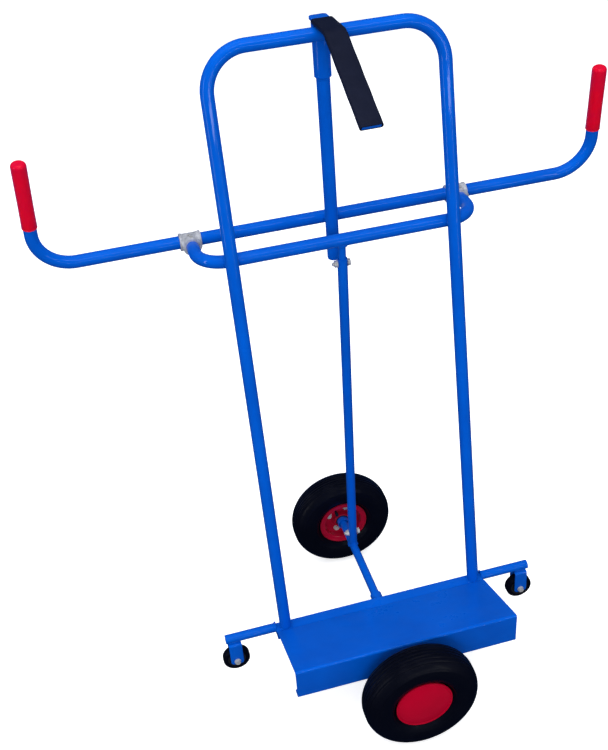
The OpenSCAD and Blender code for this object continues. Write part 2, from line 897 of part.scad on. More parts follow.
module handle_bar() {
    bend_x = arm_gap / 2 - arm_r * sin(arm_bend);
    spigot_l = 4;
    color(paint)
        translate([0, bar_y, bar_z]) rotate([arm_tilt, 0, 0]) {
            tube_x(-bend_x, bend_x, tube_r, tube_wall);
            both_sides()
                translate([bend_x, 0, arm_r]) rotate([90, 0, 0]) rotate([0, 0, -90]) {
                    bend(tube_r, tube_wall, arm_r, arm_bend);
                    rotate([0, 0, arm_bend]) translate([arm_r, 0, 0]) rotate([-90, 0, 0]) {
                        tube(tube_r, tube_wall, arm_l - grip_end_t);
                        translate([0, 0, -spigot_l / 2]) tube(tube_r - 1, tube_wall, spigot_l);
                    }
                }
        }
}

// Vinyl grip, closed and domed at the end, with a rolled rim at its mouth
module grip() {
    r = grip_d / 2;
    low = arm_l - grip_l;
    color(red)
        on_arm()
            rotate_extrude()
                polygon(concat(
                    [[tube_r + run, low], [r + 0.5, low], [r + 0.5, low + 3], [r, low + 4]],
                    arc([r - 5, arm_l - 5], 5, 0, 90, 6),
                    [[0, arm_l], [0, arm_l - grip_end_t + touch], [tube_r + run, arm_l - grip_end_t + touch]]));
}

module grip_left() { mirror([1, 0, 0]) grip(); }
module grip_right() { grip(); }

deck();
deck_web();
rear_cross_bar();
cross_bar_end_plates();
axle_sleeve();
axle();
axle_collars();
axle_washers();
axle_split_pins();
upright_frame();
guide_tube();
bow();
strut_stub();
strut_foot_stub();
support_strut();
strut_bolts();
strut_nuts();
tee_left();
tee_right();
tee_set_screws();
outrigger_left();
outrigger_right();
outrigger_end_discs();
fork_left();
fork_right();
roller_bolts();
roller_nuts();
front_tyre();
front_inner_tube();
front_rim_outer();
front_rim_inner();
front_hub();
front_bearings();
front_rim_bolts();
front_valve();
front_hub_cap();
rear_tyre();
rear_inner_tube();
rear_rim_outer();
rear_rim_inner();
rear_hub();
rear_bearings();
rear_rim_bolts();
rear_valve();
rear_hub_cap();
roller_tyre_left();
roller_core_left();
roller_tyre_right();
roller_core_right();
guide_bush();
hook_rod();
hook_rod_cap();
hook_bar();
hook_sleeve();
handle_bar();
grip_left();
grip_right();
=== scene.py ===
"""Looks of a two-wheeled hand truck for boards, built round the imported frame.

Laid out as an add-on: property groups hold the sizes and colours, one operator makes each group of
pieces, one panel lists them, and main() runs the operators in order.
"""

import json
import math

import bmesh
import bpy
from mathutils import Matrix, Vector


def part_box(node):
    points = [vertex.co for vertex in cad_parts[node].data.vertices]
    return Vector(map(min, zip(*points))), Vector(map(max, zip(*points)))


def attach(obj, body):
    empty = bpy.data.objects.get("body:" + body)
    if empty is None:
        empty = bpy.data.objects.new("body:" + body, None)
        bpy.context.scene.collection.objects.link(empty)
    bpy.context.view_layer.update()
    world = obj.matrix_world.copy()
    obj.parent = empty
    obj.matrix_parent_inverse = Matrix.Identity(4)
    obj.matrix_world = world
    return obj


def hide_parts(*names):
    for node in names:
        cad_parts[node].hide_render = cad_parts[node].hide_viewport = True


bl_info = {
    "name": "Panel hand truck",
    "version": (1, 0, 0),
    "blender": (4, 5, 0),
    "location": "View3D > Sidebar > Hand Truck",
    "description": "Builds the visible pieces and finishes of a two-wheeled panel hand truck",
    "category": "Object",
}

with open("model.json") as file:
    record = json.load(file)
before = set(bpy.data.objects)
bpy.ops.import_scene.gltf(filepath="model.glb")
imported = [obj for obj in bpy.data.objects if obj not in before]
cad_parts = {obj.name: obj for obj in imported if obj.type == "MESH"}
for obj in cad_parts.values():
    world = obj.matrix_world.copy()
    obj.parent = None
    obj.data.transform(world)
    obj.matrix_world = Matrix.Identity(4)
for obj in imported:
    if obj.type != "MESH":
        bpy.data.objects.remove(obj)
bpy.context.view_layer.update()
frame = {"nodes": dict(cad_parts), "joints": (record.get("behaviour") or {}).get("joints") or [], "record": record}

TAU = 2 * math.pi
X, Y, Z = Vector((1, 0, 0)), Vector((0, 1, 0)), Vector((0, 0, 1))
SIDES = {"left": -1, "right": 1}
WHEELS = {"front": -1, "rear": 1}


# ---- Places and sizes read from the frame ------------------------------------------------------


def middle(node):
    """Middle of a node's box."""
    low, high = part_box(node)
    return (low + high) / 2


def extent(node):
    """Length, depth and height of a node's box."""
    low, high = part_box(node)
    return high - low


def joint_place(name):
    """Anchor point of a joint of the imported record."""
    found = next(j for j in frame["joints"] if j["name"] == name)
    return Vector(found["pos_m"])


AXLE_Z = joint_place("front_wheel_spin").z
TUBE_R = extent("hook_rod").x / 2
WHEEL_R = extent("front_tyre").z / 2
SLEEVE_R = extent("axle_sleeve").x / 2
LEAN = math.radians(9.3)
STRUT_FOOT_Y = 0.188


# ---- Settings ----------------------------------------------------------------------------------


class TruckPaint(bpy.types.PropertyGroup):
    """Colours of the finishes."""

    blue: bpy.props.FloatVectorProperty(
        name="Blue", description="Powder coat of the frame", subtype="COLOR", size=3,
        min=0, max=1, default=(0.0, 0.105, 0.62))
    deep_blue: bpy.props.FloatVectorProperty(
        name="Deep blue", description="Powder coat where it lies thicker", subtype="COLOR", size=3,
        min=0, max=1, default=(0.0, 0.085, 0.53))
    rim_red: bpy.props.FloatVectorProperty(
        name="Rim red", description="Enamel of the pressed rims", subtype="COLOR", size=3,
        min=0, max=1, default=(0.42, 0.003, 0.026))
    cap_red: bpy.props.FloatVectorProperty(
        name="Cap red", description="Plastic of the hub caps", subtype="COLOR", size=3,
        min=0, max=1, default=(0.5, 0.0, 0.022))
    grip_red: bpy.props.FloatVectorProperty(
        name="Grip red", description="Vinyl of the grips", subtype="COLOR", size=3,
        min=0, max=1, default=(0.76, 0.0, 0.014))
    tyre_black: bpy.props.FloatVectorProperty(
        name="Tyre black", description="Rubber of the tyres", subtype="COLOR", size=3,
        min=0, max=1, default=(0.0014, 0.0017, 0.0045))
    sleeve_navy: bpy.props.FloatVectorProperty(
        name="Sleeve navy", description="Rubber sleeve of the hook", subtype="COLOR", size=3,
        min=0, max=1, default=(0.0055, 0.007, 0.017))


class TruckTyre(bpy.types.PropertyGroup):
    """Shape of the main tyres."""

    groove_depth: bpy.props.FloatProperty(
        name="Groove depth", description="Depth of a tread groove", unit="LENGTH", default=0.0022)
    groove_width: bpy.props.FloatProperty(
        name="Groove width", description="Half width of a tread groove", unit="LENGTH", default=0.0013)
    groove_pitch: bpy.props.FloatProperty(
        name="Groove pitch", description="Distance between tread grooves", unit="LENGTH", default=0.0082)
    grooves_each_side: bpy.props.IntProperty(
        name="Grooves each side", description="Grooves on each side of the middle one", default=3)


class TruckWeld(bpy.types.PropertyGroup):
    """Shape of the weld beads."""

    bead: bpy.props.FloatProperty(
        name="Bead radius", description="Radius of a fillet weld's bead", unit="LENGTH", default=0.0021)
    ripple: bpy.props.FloatProperty(
        name="Ripple pitch", description="Distance between the ripples of a bead", unit="LENGTH",
        default=0.0024)


class TruckStage(bpy.types.PropertyGroup):
    """Camera and light."""

    lens: bpy.props.FloatProperty(
        name="Lens", description="Focal length of the camera", unit="CAMERA", default=50.76)
    azimuth: bpy.props.FloatProperty(
        name="Azimuth", description="Direction of the camera round the truck, in degrees", default=-12.3)
    elevation: bpy.props.FloatProperty(
        name="Elevation", description="Height of the camera above the horizon, in degrees", default=34.5)
    roll: bpy.props.FloatProperty(
        name="Roll", description="Turn of the camera about its own line of sight, in degrees",
        default=-4.844)
    place: bpy.props.FloatVectorProperty(
        name="Place", description="Place of the camera", subtype="TRANSLATION", size=3,
        default=(-0.5020, -1.7042, 2.0019))
    floor: bpy.props.FloatVectorProperty(
        name="Floor", description="Colour of the floor", subtype="COLOR", size=3, min=0, max=1,
        default=(0.93, 0.93, 0.93))


def settings(name):
    """One of the scene's property groups."""
    return getattr(bpy.context.scene, "truck_" + name)


# ---- Shader node groups, shared by the finishes ------------------------------------------------

SOCKETS = {"f": "NodeSocketFloat", "c": "NodeSocketColor", "v": "NodeSocketVector"}


def feed(tree, socket, value):
    """Links a socket to another one, or gives it a number or a colour."""
    if isinstance(value, (int, float)):
        socket.default_value = value
    elif isinstance(value, (tuple, list)):
        socket.default_value = (*value, 1.0)
    else:
        tree.links.new(value, socket)


def new_group(name, inputs, outputs):
    """An empty shader node group, with the sockets of its two ends."""
    tree = bpy.data.node_groups.new(name, "ShaderNodeTree")
    for label, kind, default in inputs:
        socket = tree.interface.new_socket(label, in_out="INPUT", socket_type=SOCKETS[kind])
        if default is not None:
            socket.default_value = default
    for label, kind in outputs:
        tree.interface.new_socket(label, in_out="OUTPUT", socket_type=SOCKETS[kind])
    return tree, tree.nodes.new("NodeGroupInput").outputs, tree.nodes.new("NodeGroupOutput").inputs


def math_node(tree, operation, a, b, clamp=False):
    """A math node; a and b are sockets or numbers."""
    node = tree.nodes.new("ShaderNodeMath")
    node.operation = operation
    node.use_clamp = clamp
    feed(tree, node.inputs[0], a)
    feed(tree, node.inputs[1], b)
    return node.outputs[0]


def noise_node(tree, vector, scale, detail=2.0, roughness=0.5):
    """A 3-D noise; scale is a socket or a number."""
    node = tree.nodes.new("ShaderNodeTexNoise")
    for label, value in (("Vector", vector), ("Scale", scale), ("Detail", detail), ("Roughness", roughness)):
        feed(tree, node.inputs[label], value)
    return node.outputs["Fac"]


def range_node(tree, value, low, high, to_low=0.0, to_high=1.0):
    """A clamped map range."""
    node = tree.nodes.new("ShaderNodeMapRange")
    labels = ("Value", "From Min", "From Max", "To Min", "To Max")
    for label, given in zip(labels, (value, low, high, to_low, to_high)):
        feed(tree, node.inputs[label], given)
    return node.outputs["Result"]


def mix_node(tree, factor, a, b):
    """A colour mix; a and b are sockets or colours."""
    node = tree.nodes.new("ShaderNodeMix")
    node.data_type = "RGBA"
    tree.links.new(factor, node.inputs["Factor"])
    for label, value in (("A", a), ("B", b)):
        feed(tree, next(s for s in node.inputs if s.name == label and s.type == "RGBA"), value)
    return next(s for s in node.outputs if s.type == "RGBA")


def build_mottle_group():
    """Two colours mixed by a cloudy noise, with a matching change of roughness."""
    tree, into, out = new_group(
        "mottle",
        [("Vector", "v", None), ("Scale", "f", 20.0), ("First", "c", (0.5, 0.5, 0.5, 1)),
         ("Second", "c", (0.4, 0.4, 0.4, 1)), ("Roughness Low", "f", 0.2), ("Roughness High", "f", 0.3)],
        [("Color", "c"), ("Roughness", "f")])
    cloud = noise_node(tree, into["Vector"], into["Scale"], 4.0, 0.6)
    mask = range_node(tree, cloud, 0.3, 0.7)
    tree.links.new(mix_node(tree, mask, into["First"], into["Second"]), out["Color"])
    tree.links.new(
        range_node(tree, cloud, 0.3, 0.7, into["Roughness Low"], into["Roughness High"]), out["Roughness"])
    return tree


def build_edge_group():
    """Mask of the rounded-off edges, broken up by a noise."""
    tree, into, out = new_group(
        "edge_wear",
        [("Vector", "v", None), ("Radius", "f", 0.001), ("Amount", "f", 0.5), ("Break Up", "f", 300.0)],
        [("Mask", "f")])
    bevel = tree.nodes.new("ShaderNodeBevel")
    bevel.samples = 4
    tree.links.new(into["Radius"], bevel.inputs["Radius"])
    plain = tree.nodes.new("ShaderNodeNewGeometry")
    dot = tree.nodes.new("ShaderNodeVectorMath")
    dot.operation = "DOT_PRODUCT"
    tree.links.new(bevel.outputs["Normal"], dot.inputs[0])
    tree.links.new(plain.outputs["Normal"], dot.inputs[1])
    edge = range_node(tree, dot.outputs["Value"], 0.99, 0.75)
    speck = range_node(tree, noise_node(tree, into["Vector"], into["Break Up"], 3.0, 0.7), 0.42, 0.62)
    worn = math_node(tree, "MULTIPLY", edge, speck)
    tree.links.new(math_node(tree, "MULTIPLY", worn, into["Amount"], clamp=True), out["Mask"])
    return tree


def build_dust_group():
    """Thin dust that settles on faces that look up."""
    tree, into, out = new_group(
        "settled_dust",
        [("Vector", "v", None), ("Color", "c", (0.5, 0.5, 0.5, 1)), ("Dust", "c", (0.5, 0.48, 0.45, 1)),
         ("Amount", "f", 0.1)],
        [("Color", "c"), ("Mask", "f")])
    parts = tree.nodes.new("ShaderNodeSeparateXYZ")
    tree.links.new(tree.nodes.new("ShaderNodeNewGeometry").outputs["Normal"], parts.inputs[0])
    upward = range_node(tree, parts.outputs["Z"], 0.2, 1.0)
    patch = range_node(tree, noise_node(tree, into["Vector"], 35.0, 6.0, 0.65), 0.45, 0.75)
    settled = math_node(tree, "MULTIPLY", upward, patch)
    mask = math_node(tree, "MULTIPLY", settled, into["Amount"], clamp=True)
    tree.links.new(mix_node(tree, mask, into["Color"], into["Dust"]), out["Color"])
    tree.links.new(mask, out["Mask"])
    return tree


def build_grain_group():
    """Height of a fine grain: small pits over a slow swell."""
    tree, into, out = new_group(
        "fine_grain",
        [("Vector", "v", None), ("Grain", "f", 900.0), ("Swell", "f", 60.0), ("Swell Share", "f", 0.4)],
        [("Height", "f")])
    small = noise_node(tree, into["Vector"], into["Grain"])
    slow = noise_node(tree, into["Vector"], into["Swell"])
    share = math_node(tree, "MULTIPLY", slow, into["Swell Share"])
    tree.links.new(math_node(tree, "ADD", small, share), out["Height"])
    return tree


GROUP_BUILDERS = {
    "mottle": build_mottle_group,
    "edge_wear": build_edge_group,
    "settled_dust": build_dust_group,
    "fine_grain": build_grain_group,
}


def place_group(tree, name, **values):
    """Puts a shared group into a material and returns its outputs."""
    node = tree.nodes.new("ShaderNodeGroup")
    node.node_tree = bpy.data.node_groups.get(name) or GROUP_BUILDERS[name]()
    for label, value in values.items():
        feed(tree, node.inputs[label.replace("_", " ")], value)
    return node.outputs


# ---- Finishes ----------------------------------------------------------------------------------


def shade(color, share):
    """A colour made darker or lighter."""
    return tuple(c * share for c in color)


class Finish:
    """A material being put together: its tree, its shader, and the colour and roughness so far."""

    def __init__(self, name, metallic=0.0, coat=0.0, coat_roughness=0.03, specular=0.5, tint=(1, 1, 1)):
        self.material = bpy.data.materials.new(name)
        self.material.use_nodes = True
        self.tree = self.material.node_tree
        self.shader = self.tree.nodes["Principled BSDF"]
        self.shader.inputs["Metallic"].default_value = metallic
        self.shader.inputs["Coat Weight"].default_value = coat
        self.shader.inputs["Coat Roughness"].default_value = coat_roughness
        self.shader.inputs["Specular IOR Level"].default_value = specular
        self.shader.inputs["Specular Tint"].default_value = (*tint, 1.0)
        self.place = self.tree.nodes.new("ShaderNodeTexCoord").outputs["Object"]

    def mottle(self, scale, first, second, low, high):
        """Two cloudy colours, and a roughness from low to high."""
        made = place_group(
            self.tree, "mottle", Vector=self.place, Scale=scale, First=first, Second=second,
            Roughness_Low=low, Roughness_High=high)
        self.color, self.roughness = made["Color"], made["Roughness"]

    def edge(self, radius, amount, break_up, color):
        """Worn edges of another colour."""
        made = place_group(
            self.tree, "edge_wear", Vector=self.place, Radius=radius, Amount=amount, Break_Up=break_up)
        self.color = mix_node(self.tree, made["Mask"], self.color, color)

    def dust(self, color, amount):
        """Dust on the faces that look up; returns its mask."""
        made = place_group(
            self.tree, "settled_dust", Vector=self.place, Color=self.color, Dust=color, Amount=amount)
        self.color = made["Color"]
        return made["Mask"]

    def skin(self, grain, swell, share, strength, distance):
        """Adds the grain, links what was made to the shader and returns the material."""
        made = place_group(
            self.tree, "fine_grain", Vector=self.place, Grain=grain, Swell=swell, Swell_Share=share)
        bump = self.tree.nodes.new("ShaderNodeBump")
        bump.inputs["Strength"].default_value = strength
        bump.inputs["Distance"].default_value = distance
        self.tree.links.new(made["Height"], bump.inputs["Height"])
        self.link()
        self.tree.links.new(bump.outputs["Normal"], self.shader.inputs["Normal"])
        return self.material

    def link(self):
        """Links colour and roughness to the shader."""
        self.tree.links.new(self.color, self.shader.inputs["Base Color"])
        self.tree.links.new(self.roughness, self.shader.inputs["Roughness"])


def powder_coat():
    """Glossy blue powder coat: orange peel, slightly thin and light on the edges."""
    paint = settings("paint")
    f = Finish("blue_powder_coat", coat=0.6, coat_roughness=0.05, specular=0.3, tint=(0.1, 0.4, 1.0))
    f.mottle(9.0, tuple(paint.blue), tuple(paint.deep_blue), 0.26, 0.33)
    f.edge(0.0012, 0.35, 260.0, (0.004, 0.17, 0.74))
    dulled = math_node(f.tree, "MULTIPLY", f.dust((0.03, 0.16, 0.6), 0.08), 1.2)
    f.roughness = math_node(f.tree, "ADD", f.roughness, dulled, clamp=True)
    return f.skin(420.0, 110.0, 0.8, 0.07, 0.0005)


def rim_enamel():
    """Red enamel on pressed steel."""
    red = tuple(settings("paint").rim_red)
    f = Finish("red_rim_enamel", coat=0.6, coat_roughness=0.07, specular=0.25, tint=(1.0, 0.2, 0.3))
    f.mottle(30.0, red, shade(red, 0.8), 0.25, 0.36)
    f.edge(0.0008, 0.5, 400.0, (0.8, 0.12, 0.12))
    return f.skin(500.0, 90.0, 0.9, 0.14, 0.0005)


def cap_plastic():
    """Semi-gloss moulded red plastic with faint flow marks."""
    red = tuple(settings("paint").cap_red)
    f = Finish("red_cap_plastic", specular=0.2, tint=(1.0, 0.2, 0.3))
    f.mottle(14.0, red, shade(red, 0.86), 0.34, 0.42)
    f.dust((0.5, 0.2, 0.2), 0.05)
    return f.skin(1500.0, 25.0, 0.5, 0.12, 0.0002)


def grip_vinyl():
    """Glossy dip-moulded vinyl: soft swell and a few fine pits."""
    red = tuple(settings("paint").grip_red)
    f = Finish("red_grip_vinyl", coat=0.25, coat_roughness=0.18, specular=0.25, tint=(1.0, 0.3, 0.3))
    f.mottle(22.0, red, (red[0] * 0.82, red[1], 0.03), 0.26, 0.36)
    return f.skin(700.0, 70.0, 1.0, 0.16, 0.0004)


def rubber(name, color, low, high, grain, dust_amount):
    """Black rubber: fine grain, cloudy sheen and a little dust."""
    f = Finish(name, coat=0.12, coat_roughness=0.22, specular=0.16, tint=(0.75, 0.8, 1.0))
    f.mottle(26.0, color, shade(color, 1.35), low, high)
    f.dust((0.03, 0.03, 0.045), dust_amount)
    return f.skin(grain, 50.0, 0.3, 0.25, 0.0003)


def zinc_plate():
    """Bright zinc plating: cloudy, with fine scratches and a faint warm tint in places."""
    f = Finish("zinc_plate", metallic=0.45)
    f.mottle(160.0, (0.72, 0.73, 0.76), (0.55, 0.54, 0.5), 0.2, 0.38)
    f.edge(0.0005, 0.8, 800.0, (0.86, 0.87, 0.9))
    return f.skin(2200.0, 300.0, 0.4, 0.15, 0.0002)


def galvanised_iron():
    """Hot-dip zinc on a sand casting: spangles of different grey and a rough skin."""
    f = Finish("galvanised_iron", metallic=0.35)
    spangle = f.tree.nodes.new("ShaderNodeTexVoronoi")
    spangle.inputs["Scale"].default_value = 210.0
    f.tree.links.new(f.place, spangle.inputs["Vector"])
    grey = f.tree.nodes.new("ShaderNodeSeparateColor")
    f.tree.links.new(spangle.outputs["Color"], grey.inputs["Color"])
    flake = range_node(f.tree, grey.outputs[0], 0.0, 1.0)
    tone = mix_node(f.tree, flake, (0.36, 0.38, 0.43), (0.66, 0.68, 0.73))
    f.mottle(60.0, (0.7, 0.72, 0.76), (0.42, 0.43, 0.47), 0.34, 0.52)
    f.color = mix_node(f.tree, range_node(f.tree, grey.outputs[1], 0.2, 1.0), tone, f.color)
    return f.skin(650.0, 140.0, 1.0, 0.45, 0.0007)


def black_plastic():
    """Black moulded plastic with a fine spark-eroded grain."""
    f = Finish("black_plastic", specular=0.4)
    f.mottle(40.0, (0.012, 0.012, 0.014), (0.02, 0.02, 0.023), 0.35, 0.5)
    return f.skin(1800.0, 100.0, 0.2, 0.2, 0.0003)


FINISH_MAKERS = {
    "blue_paint": powder_coat,
    "red_paint": rim_enamel,
    "red_cap": cap_plastic,
    "red_vinyl": grip_vinyl,
    "tyre_rubber": lambda: rubber(
        "tyre_rubber", tuple(settings("paint").tyre_black), 0.42, 0.58, 1300.0, 0.10),
    "black_rubber": lambda: rubber(
        "hook_rubber", tuple(settings("paint").sleeve_navy), 0.5, 0.62, 1700.0, 0.06),
    "black_plastic": black_plastic,
    "zinc": zinc_plate,
    "galvanised": galvanised_iron,
}
made_finishes = {}


def finish_of(slot):
    """The material of a slot, made the first time that it is asked for."""
    if slot not in made_finishes:
        made_finishes[slot] = FINISH_MAKERS[slot]()
    return made_finishes[slot]


# ---- Mesh helpers ------------------------------------------------------------------------------


def new_object(name, data):
    """Puts an object into the scene."""
    made = bpy.data.objects.new(name, data)
    bpy.context.scene.collection.objects.link(made)
    return made


def mesh_from(bm, name):
    """A mesh whose normals look outwards. The bmesh is used up."""
    bmesh.ops.recalc_face_normals(bm, faces=bm.faces)
    data = bpy.data.meshes.new(name)
    bm.to_mesh(data)
    bm.free()
    return data


def take_shape(made, *spent):
    """An object's mesh with its modifiers, as a bmesh. It and the other spent objects are removed."""
    graph = bpy.context.evaluated_depsgraph_get()
    result = bmesh.new()
    result.from_mesh(made.evaluated_get(graph).to_mesh())
    for item in (made, *spent):
        data = item.data
        bpy.data.objects.remove(item)
        bpy.data.meshes.remove(data)
    return result


def add_piece(name, bm, body, slot, replaces=(), sharp=35.0):
    """Puts a bmesh into the scene as one piece of the truck."""
    data = mesh_from(bm, name)
    data.polygons.foreach_set("use_smooth", [True] * len(data.polygons))
    data.set_sharp_from_angle(angle=math.radians(sharp))
    data.materials.append(finish_of(slot))
    piece = new_object(name, data)
    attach(piece, body)
    if replaces:
        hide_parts(*replaces)


def axes_for(direction, hint=Z):
    """Two unit vectors square to a direction."""
    direction = direction.normalized()
    hint = hint if abs(direction.dot(hint)) < 0.95 else X
    first = (hint - direction * hint.dot(direction)).normalized()
    return first, direction.cross(first)


def spoke(axes, angle):
    """The unit vector at an angle between two axes."""
    return axes[0] * math.cos(angle) + axes[1] * math.sin(angle)


def turns(count):
    """Even angles round a full turn."""
    return [TAU * i / count for i in range(count)]


def bridge(bm, loops, caps=True, closed=False):
    """Joins rings of equally many points with faces, and caps the ends."""
    count = len(loops[0])
    for a, b in zip(loops, loops[1:] + (loops[:1] if closed else [])):
        for i in range(count):
            j = (i + 1) % count
            bm.faces.new([a[i], a[j], b[j], b[i]])
    if caps and not closed:
        bm.faces.new(list(reversed(loops[0])))
        bm.faces.new(loops[-1])
    return bm


def lathe(bm, profile, centre, axis, segments=128, close=False):
    """Turns (radius, distance along the axis) points about an axis. Points at radius 0 become poles."""
    axis = axis.normalized()
    axes = axes_for(axis)
    rings = []
    for radius, along in profile:
        angles = turns(segments) if radius > 0 else [0.0]
        rings.append([bm.verts.new(centre + axis * along + spoke(axes, t) * radius) for t in angles])
    for a, b in zip(rings, rings[1:] + (rings[:1] if close else [])):
        for i in range(segments):
            j = (i + 1) % segments
            corners = dict.fromkeys([a[i % len(a)], a[j % len(a)], b[j % len(b)], b[i % len(b)]])
            if len(corners) > 2:
                bm.faces.new(list(corners))
    return bm


def rod(bm, radius, start, stop, centre, axis, segments):
    """A plain round bar along an axis."""
    return lathe(bm, [(0, start), (radius, start), (radius, stop), (0, stop)], centre, axis, segments)


def sweep(bm, path, section, closed, scale):
    """Carries a closed section, given as (side, up) points, along a path. scale(i) sizes it there."""
    rings = []
    side = None
    last = len(path) - 1
    for i, point in enumerate(path):
        ahead = path[0 if i == last else i + 1] if closed or i < last else point
        behind = path[i - 1] if closed or i > 0 else point
        tangent = (ahead - behind).normalized()
        if side is None:
            side = axes_for(tangent)[1]
        side = (side - tangent * side.dot(tangent)).normalized()
        over = side.cross(tangent)
        size = scale(i)
        rings.append([bm.verts.new(point + (side * a + over * b) * size) for a, b in section])
    return bridge(bm, rings, closed=closed)


def arc(centre, radius, start, stop, steps=10):
    """Points of an arc in a plane, angles in degrees."""
    angles = [math.radians(start + (stop - start) * i / steps) for i in range(steps + 1)]
    return [(centre[0] + radius * math.cos(a), centre[1] + radius * math.sin(a)) for a in angles]


def inset(outline, distance):
    """Moves each point of a closed outline inwards along the mean of its two edge normals."""
    following = outline[1:] + outline[:1]
    area = sum(a[0] * b[1] - b[0] * a[1] for a, b in zip(outline, following))
    turn = 1 if area > 0 else -1
    moved = []
    for i, here in enumerate(map(Vector, outline)):
        normals = []
        for edge in (here - Vector(outline[i - 1]), Vector(following[i]) - here):
            edge.normalize()
            normals.append(Vector((-edge.y, edge.x)) * turn)
        mean = (normals[0] + normals[1]).normalized()
        moved.append(tuple(here + mean * (distance / max(0.5, mean.dot(normals[0])))))
    return moved


def prism(bm, outline, low, high, place, edge=0.0005, steps=3):
    """Extrudes a closed outline from low to high with rounded rims. place(a, b, depth) gives a point."""
    ease = [(edge * (1 - math.cos(t)), edge * (1 - math.sin(t)))
            for t in (math.pi / 2 * i / steps for i in range(steps + 1))]
    loops = []
    for depth, shrink in [(low + d, e) for d, e in ease] + [(high - d, e) for d, e in reversed(ease)]:
        points = inset(outline, shrink) if shrink > 1e-9 else outline
        loops.append([bm.verts.new(place(a, b, depth)) for a, b in points])
    return bridge(bm, loops)


def along_x(a, b, depth):
    """Place of an outline point given as (y, z), at x = depth."""
    return Vector((depth, a, b))


def cut(target, cutter):
    """Cuts one bmesh out of another and returns what is left."""
    whole, tool = (new_object("temp", mesh_from(bm, "temp")) for bm in (target, cutter))
    modifier = whole.modifiers.new("cut", "BOOLEAN")
    modifier.operation = "DIFFERENCE"
    modifier.object = tool
    modifier.solver = "EXACT"
    return take_shape(whole, tool)


def hexagon_reach(radius, angle):
    """Distance from the middle of a hexagon to its side, at an angle."""
    return radius * math.cos(math.pi / 6) / math.cos((angle + math.pi / 6) % (math.pi / 3) - math.pi / 6)


def hexagon_head(bm, place, axis, across_corners, height, collar=True):
    """A hexagon head or nut standing on a place: collar face, six flats and a chamfered top."""
    axes = axes_for(axis)
    radius = across_corners / 2
    segments = 48
    base = 0.0
    if collar:
        base = 0.0006
        rod(bm, radius * 0.9, 0, base, place, axis, segments)
    levels = ((base, 0.94), (base + height * 0.08, 1.0), (height * 0.86, 1.0), (height * 0.95, 0.93),
              (height, 0.84))
    bridge(bm, [
        [bm.verts.new(place + axis * along + spoke(axes, t) * min(hexagon_reach(radius, t), radius * limit))
         for t in turns(segments)] for along, limit in levels])


def washer(bm, place, axis, radius, flat, thick):
    """A washer with an eased rim."""
    lathe(bm, [(0, 0), (radius, 0), (radius, flat), (radius - 0.0004, thick), (0, thick)], place, axis, 40)


def threaded_end(bm, place, axis, radius, length):
    """The end of a bolt that stands out of its nut, with thread crests and a chamfer."""
    pitch = 0.00125
    profile = [(0, 0), (radius, 0)]
    for i in range(max(1, int((length - 0.001) / pitch))):
        profile += [(radius, pitch * (i + 0.15)), (radius * 0.88, pitch * (i + 0.6)), (radius, pitch * (i + 1))]
    profile += [(radius * 0.8, length), (0, length)]
    lathe(bm, profile, place, axis, 32)


# ---- Weld beads --------------------------------------------------------------------------------


def bead(bm, path, radius, closed):
    """A rippled weld bead along a path."""
    pitch = settings("weld").ripple
    length = sum((b - a).length for a, b in zip(path, path[1:]))
    fine = resample(path, max(24, int(length / pitch * 3)), closed)
    share = length / len(fine) / pitch

    def size(i):
        ripple = 0.10 * math.cos(TAU * i * share)
        drift = 0.06 * math.sin(i * 0.37 + radius * 9000) + 0.04 * math.sin(i * 0.11)
        ends = 1.0 if closed else min(1.0, 0.35 + min(i, len(fine) - 1 - i) * 0.16)
        return (1.0 + ripple + drift) * ends

    section = [(radius * math.cos(t), radius * math.sin(t)) for t in turns(10)]
    sweep(bm, fine, section, closed, size)


def resample(path, count, closed):
    """Points at even distances along a path."""
    points = path + [path[0]] if closed else path
    lengths = [0.0]
    for a, b in zip(points, points[1:]):
        lengths.append(lengths[-1] + (b - a).length)
    out = []
    segment = 0
    for i in range(count):
        target = lengths[-1] * i / (count if closed else count - 1)
        while segment < len(points) - 2 and lengths[segment + 1] < target:
            segment += 1
        span = lengths[segment + 1] - lengths[segment]
        t = (target - lengths[segment]) / span if span > 0 else 0.0
        out.append(points[segment].lerp(points[segment + 1], min(1.0, t)))
    return out


def ring_path(centre, axis, radius, stretch=1.0, start=0.0, stop=360.0, hint=Z):
    """Points of a circle, or of an arc of it, stretched along its first side axis."""
    u, v = axes_for(axis, hint)
    steps = 64
    closed = abs(stop - start) >= 360
    angles = [math.radians(start + (stop - start) * i / steps) for i in range(steps if closed else steps + 1)]
    return [centre + spoke((u * stretch, v), a) * radius for a in angles]


def saddle_path(foot, direction, radius, target, target_axis, target_radius):
    """Where a tube of some radius, pointing from foot along direction, meets the near side of a round bar."""
    axes = axes_for(direction, target_axis)
    path = []
    for angle in turns(64):
        start = foot + spoke(axes, angle) * radius
        gap = start - target
        gap -= target_axis * gap.dot(target_axis)
        ahead = direction - target_axis * direction.dot(target_axis)
        a = ahead.dot(ahead)
        b = 2 * gap.dot(ahead)
        c = gap.dot(gap) - target_radius ** 2
        root = math.sqrt(max(0.0, b * b - 4 * a * c))
        path.append(start + direction * ((-b - root) / (2 * a)))
    return path


# ---- Operators: one for each piece or group of like pieces -------------------------------------


class TRUCK_OT_paint_frame(bpy.types.Operator):
    """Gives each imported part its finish, from its material slot"""

    bl_idname = "truck.paint_frame"
    bl_label = "Paint the frame parts"

    def execute(self, context):
        for entry in frame["record"]["subparts"]:
            node = frame["nodes"][entry["node"]]
            node.data.materials.clear()
            node.data.materials.append(finish_of(entry["material_slot"]))
        return {"FINISHED"}


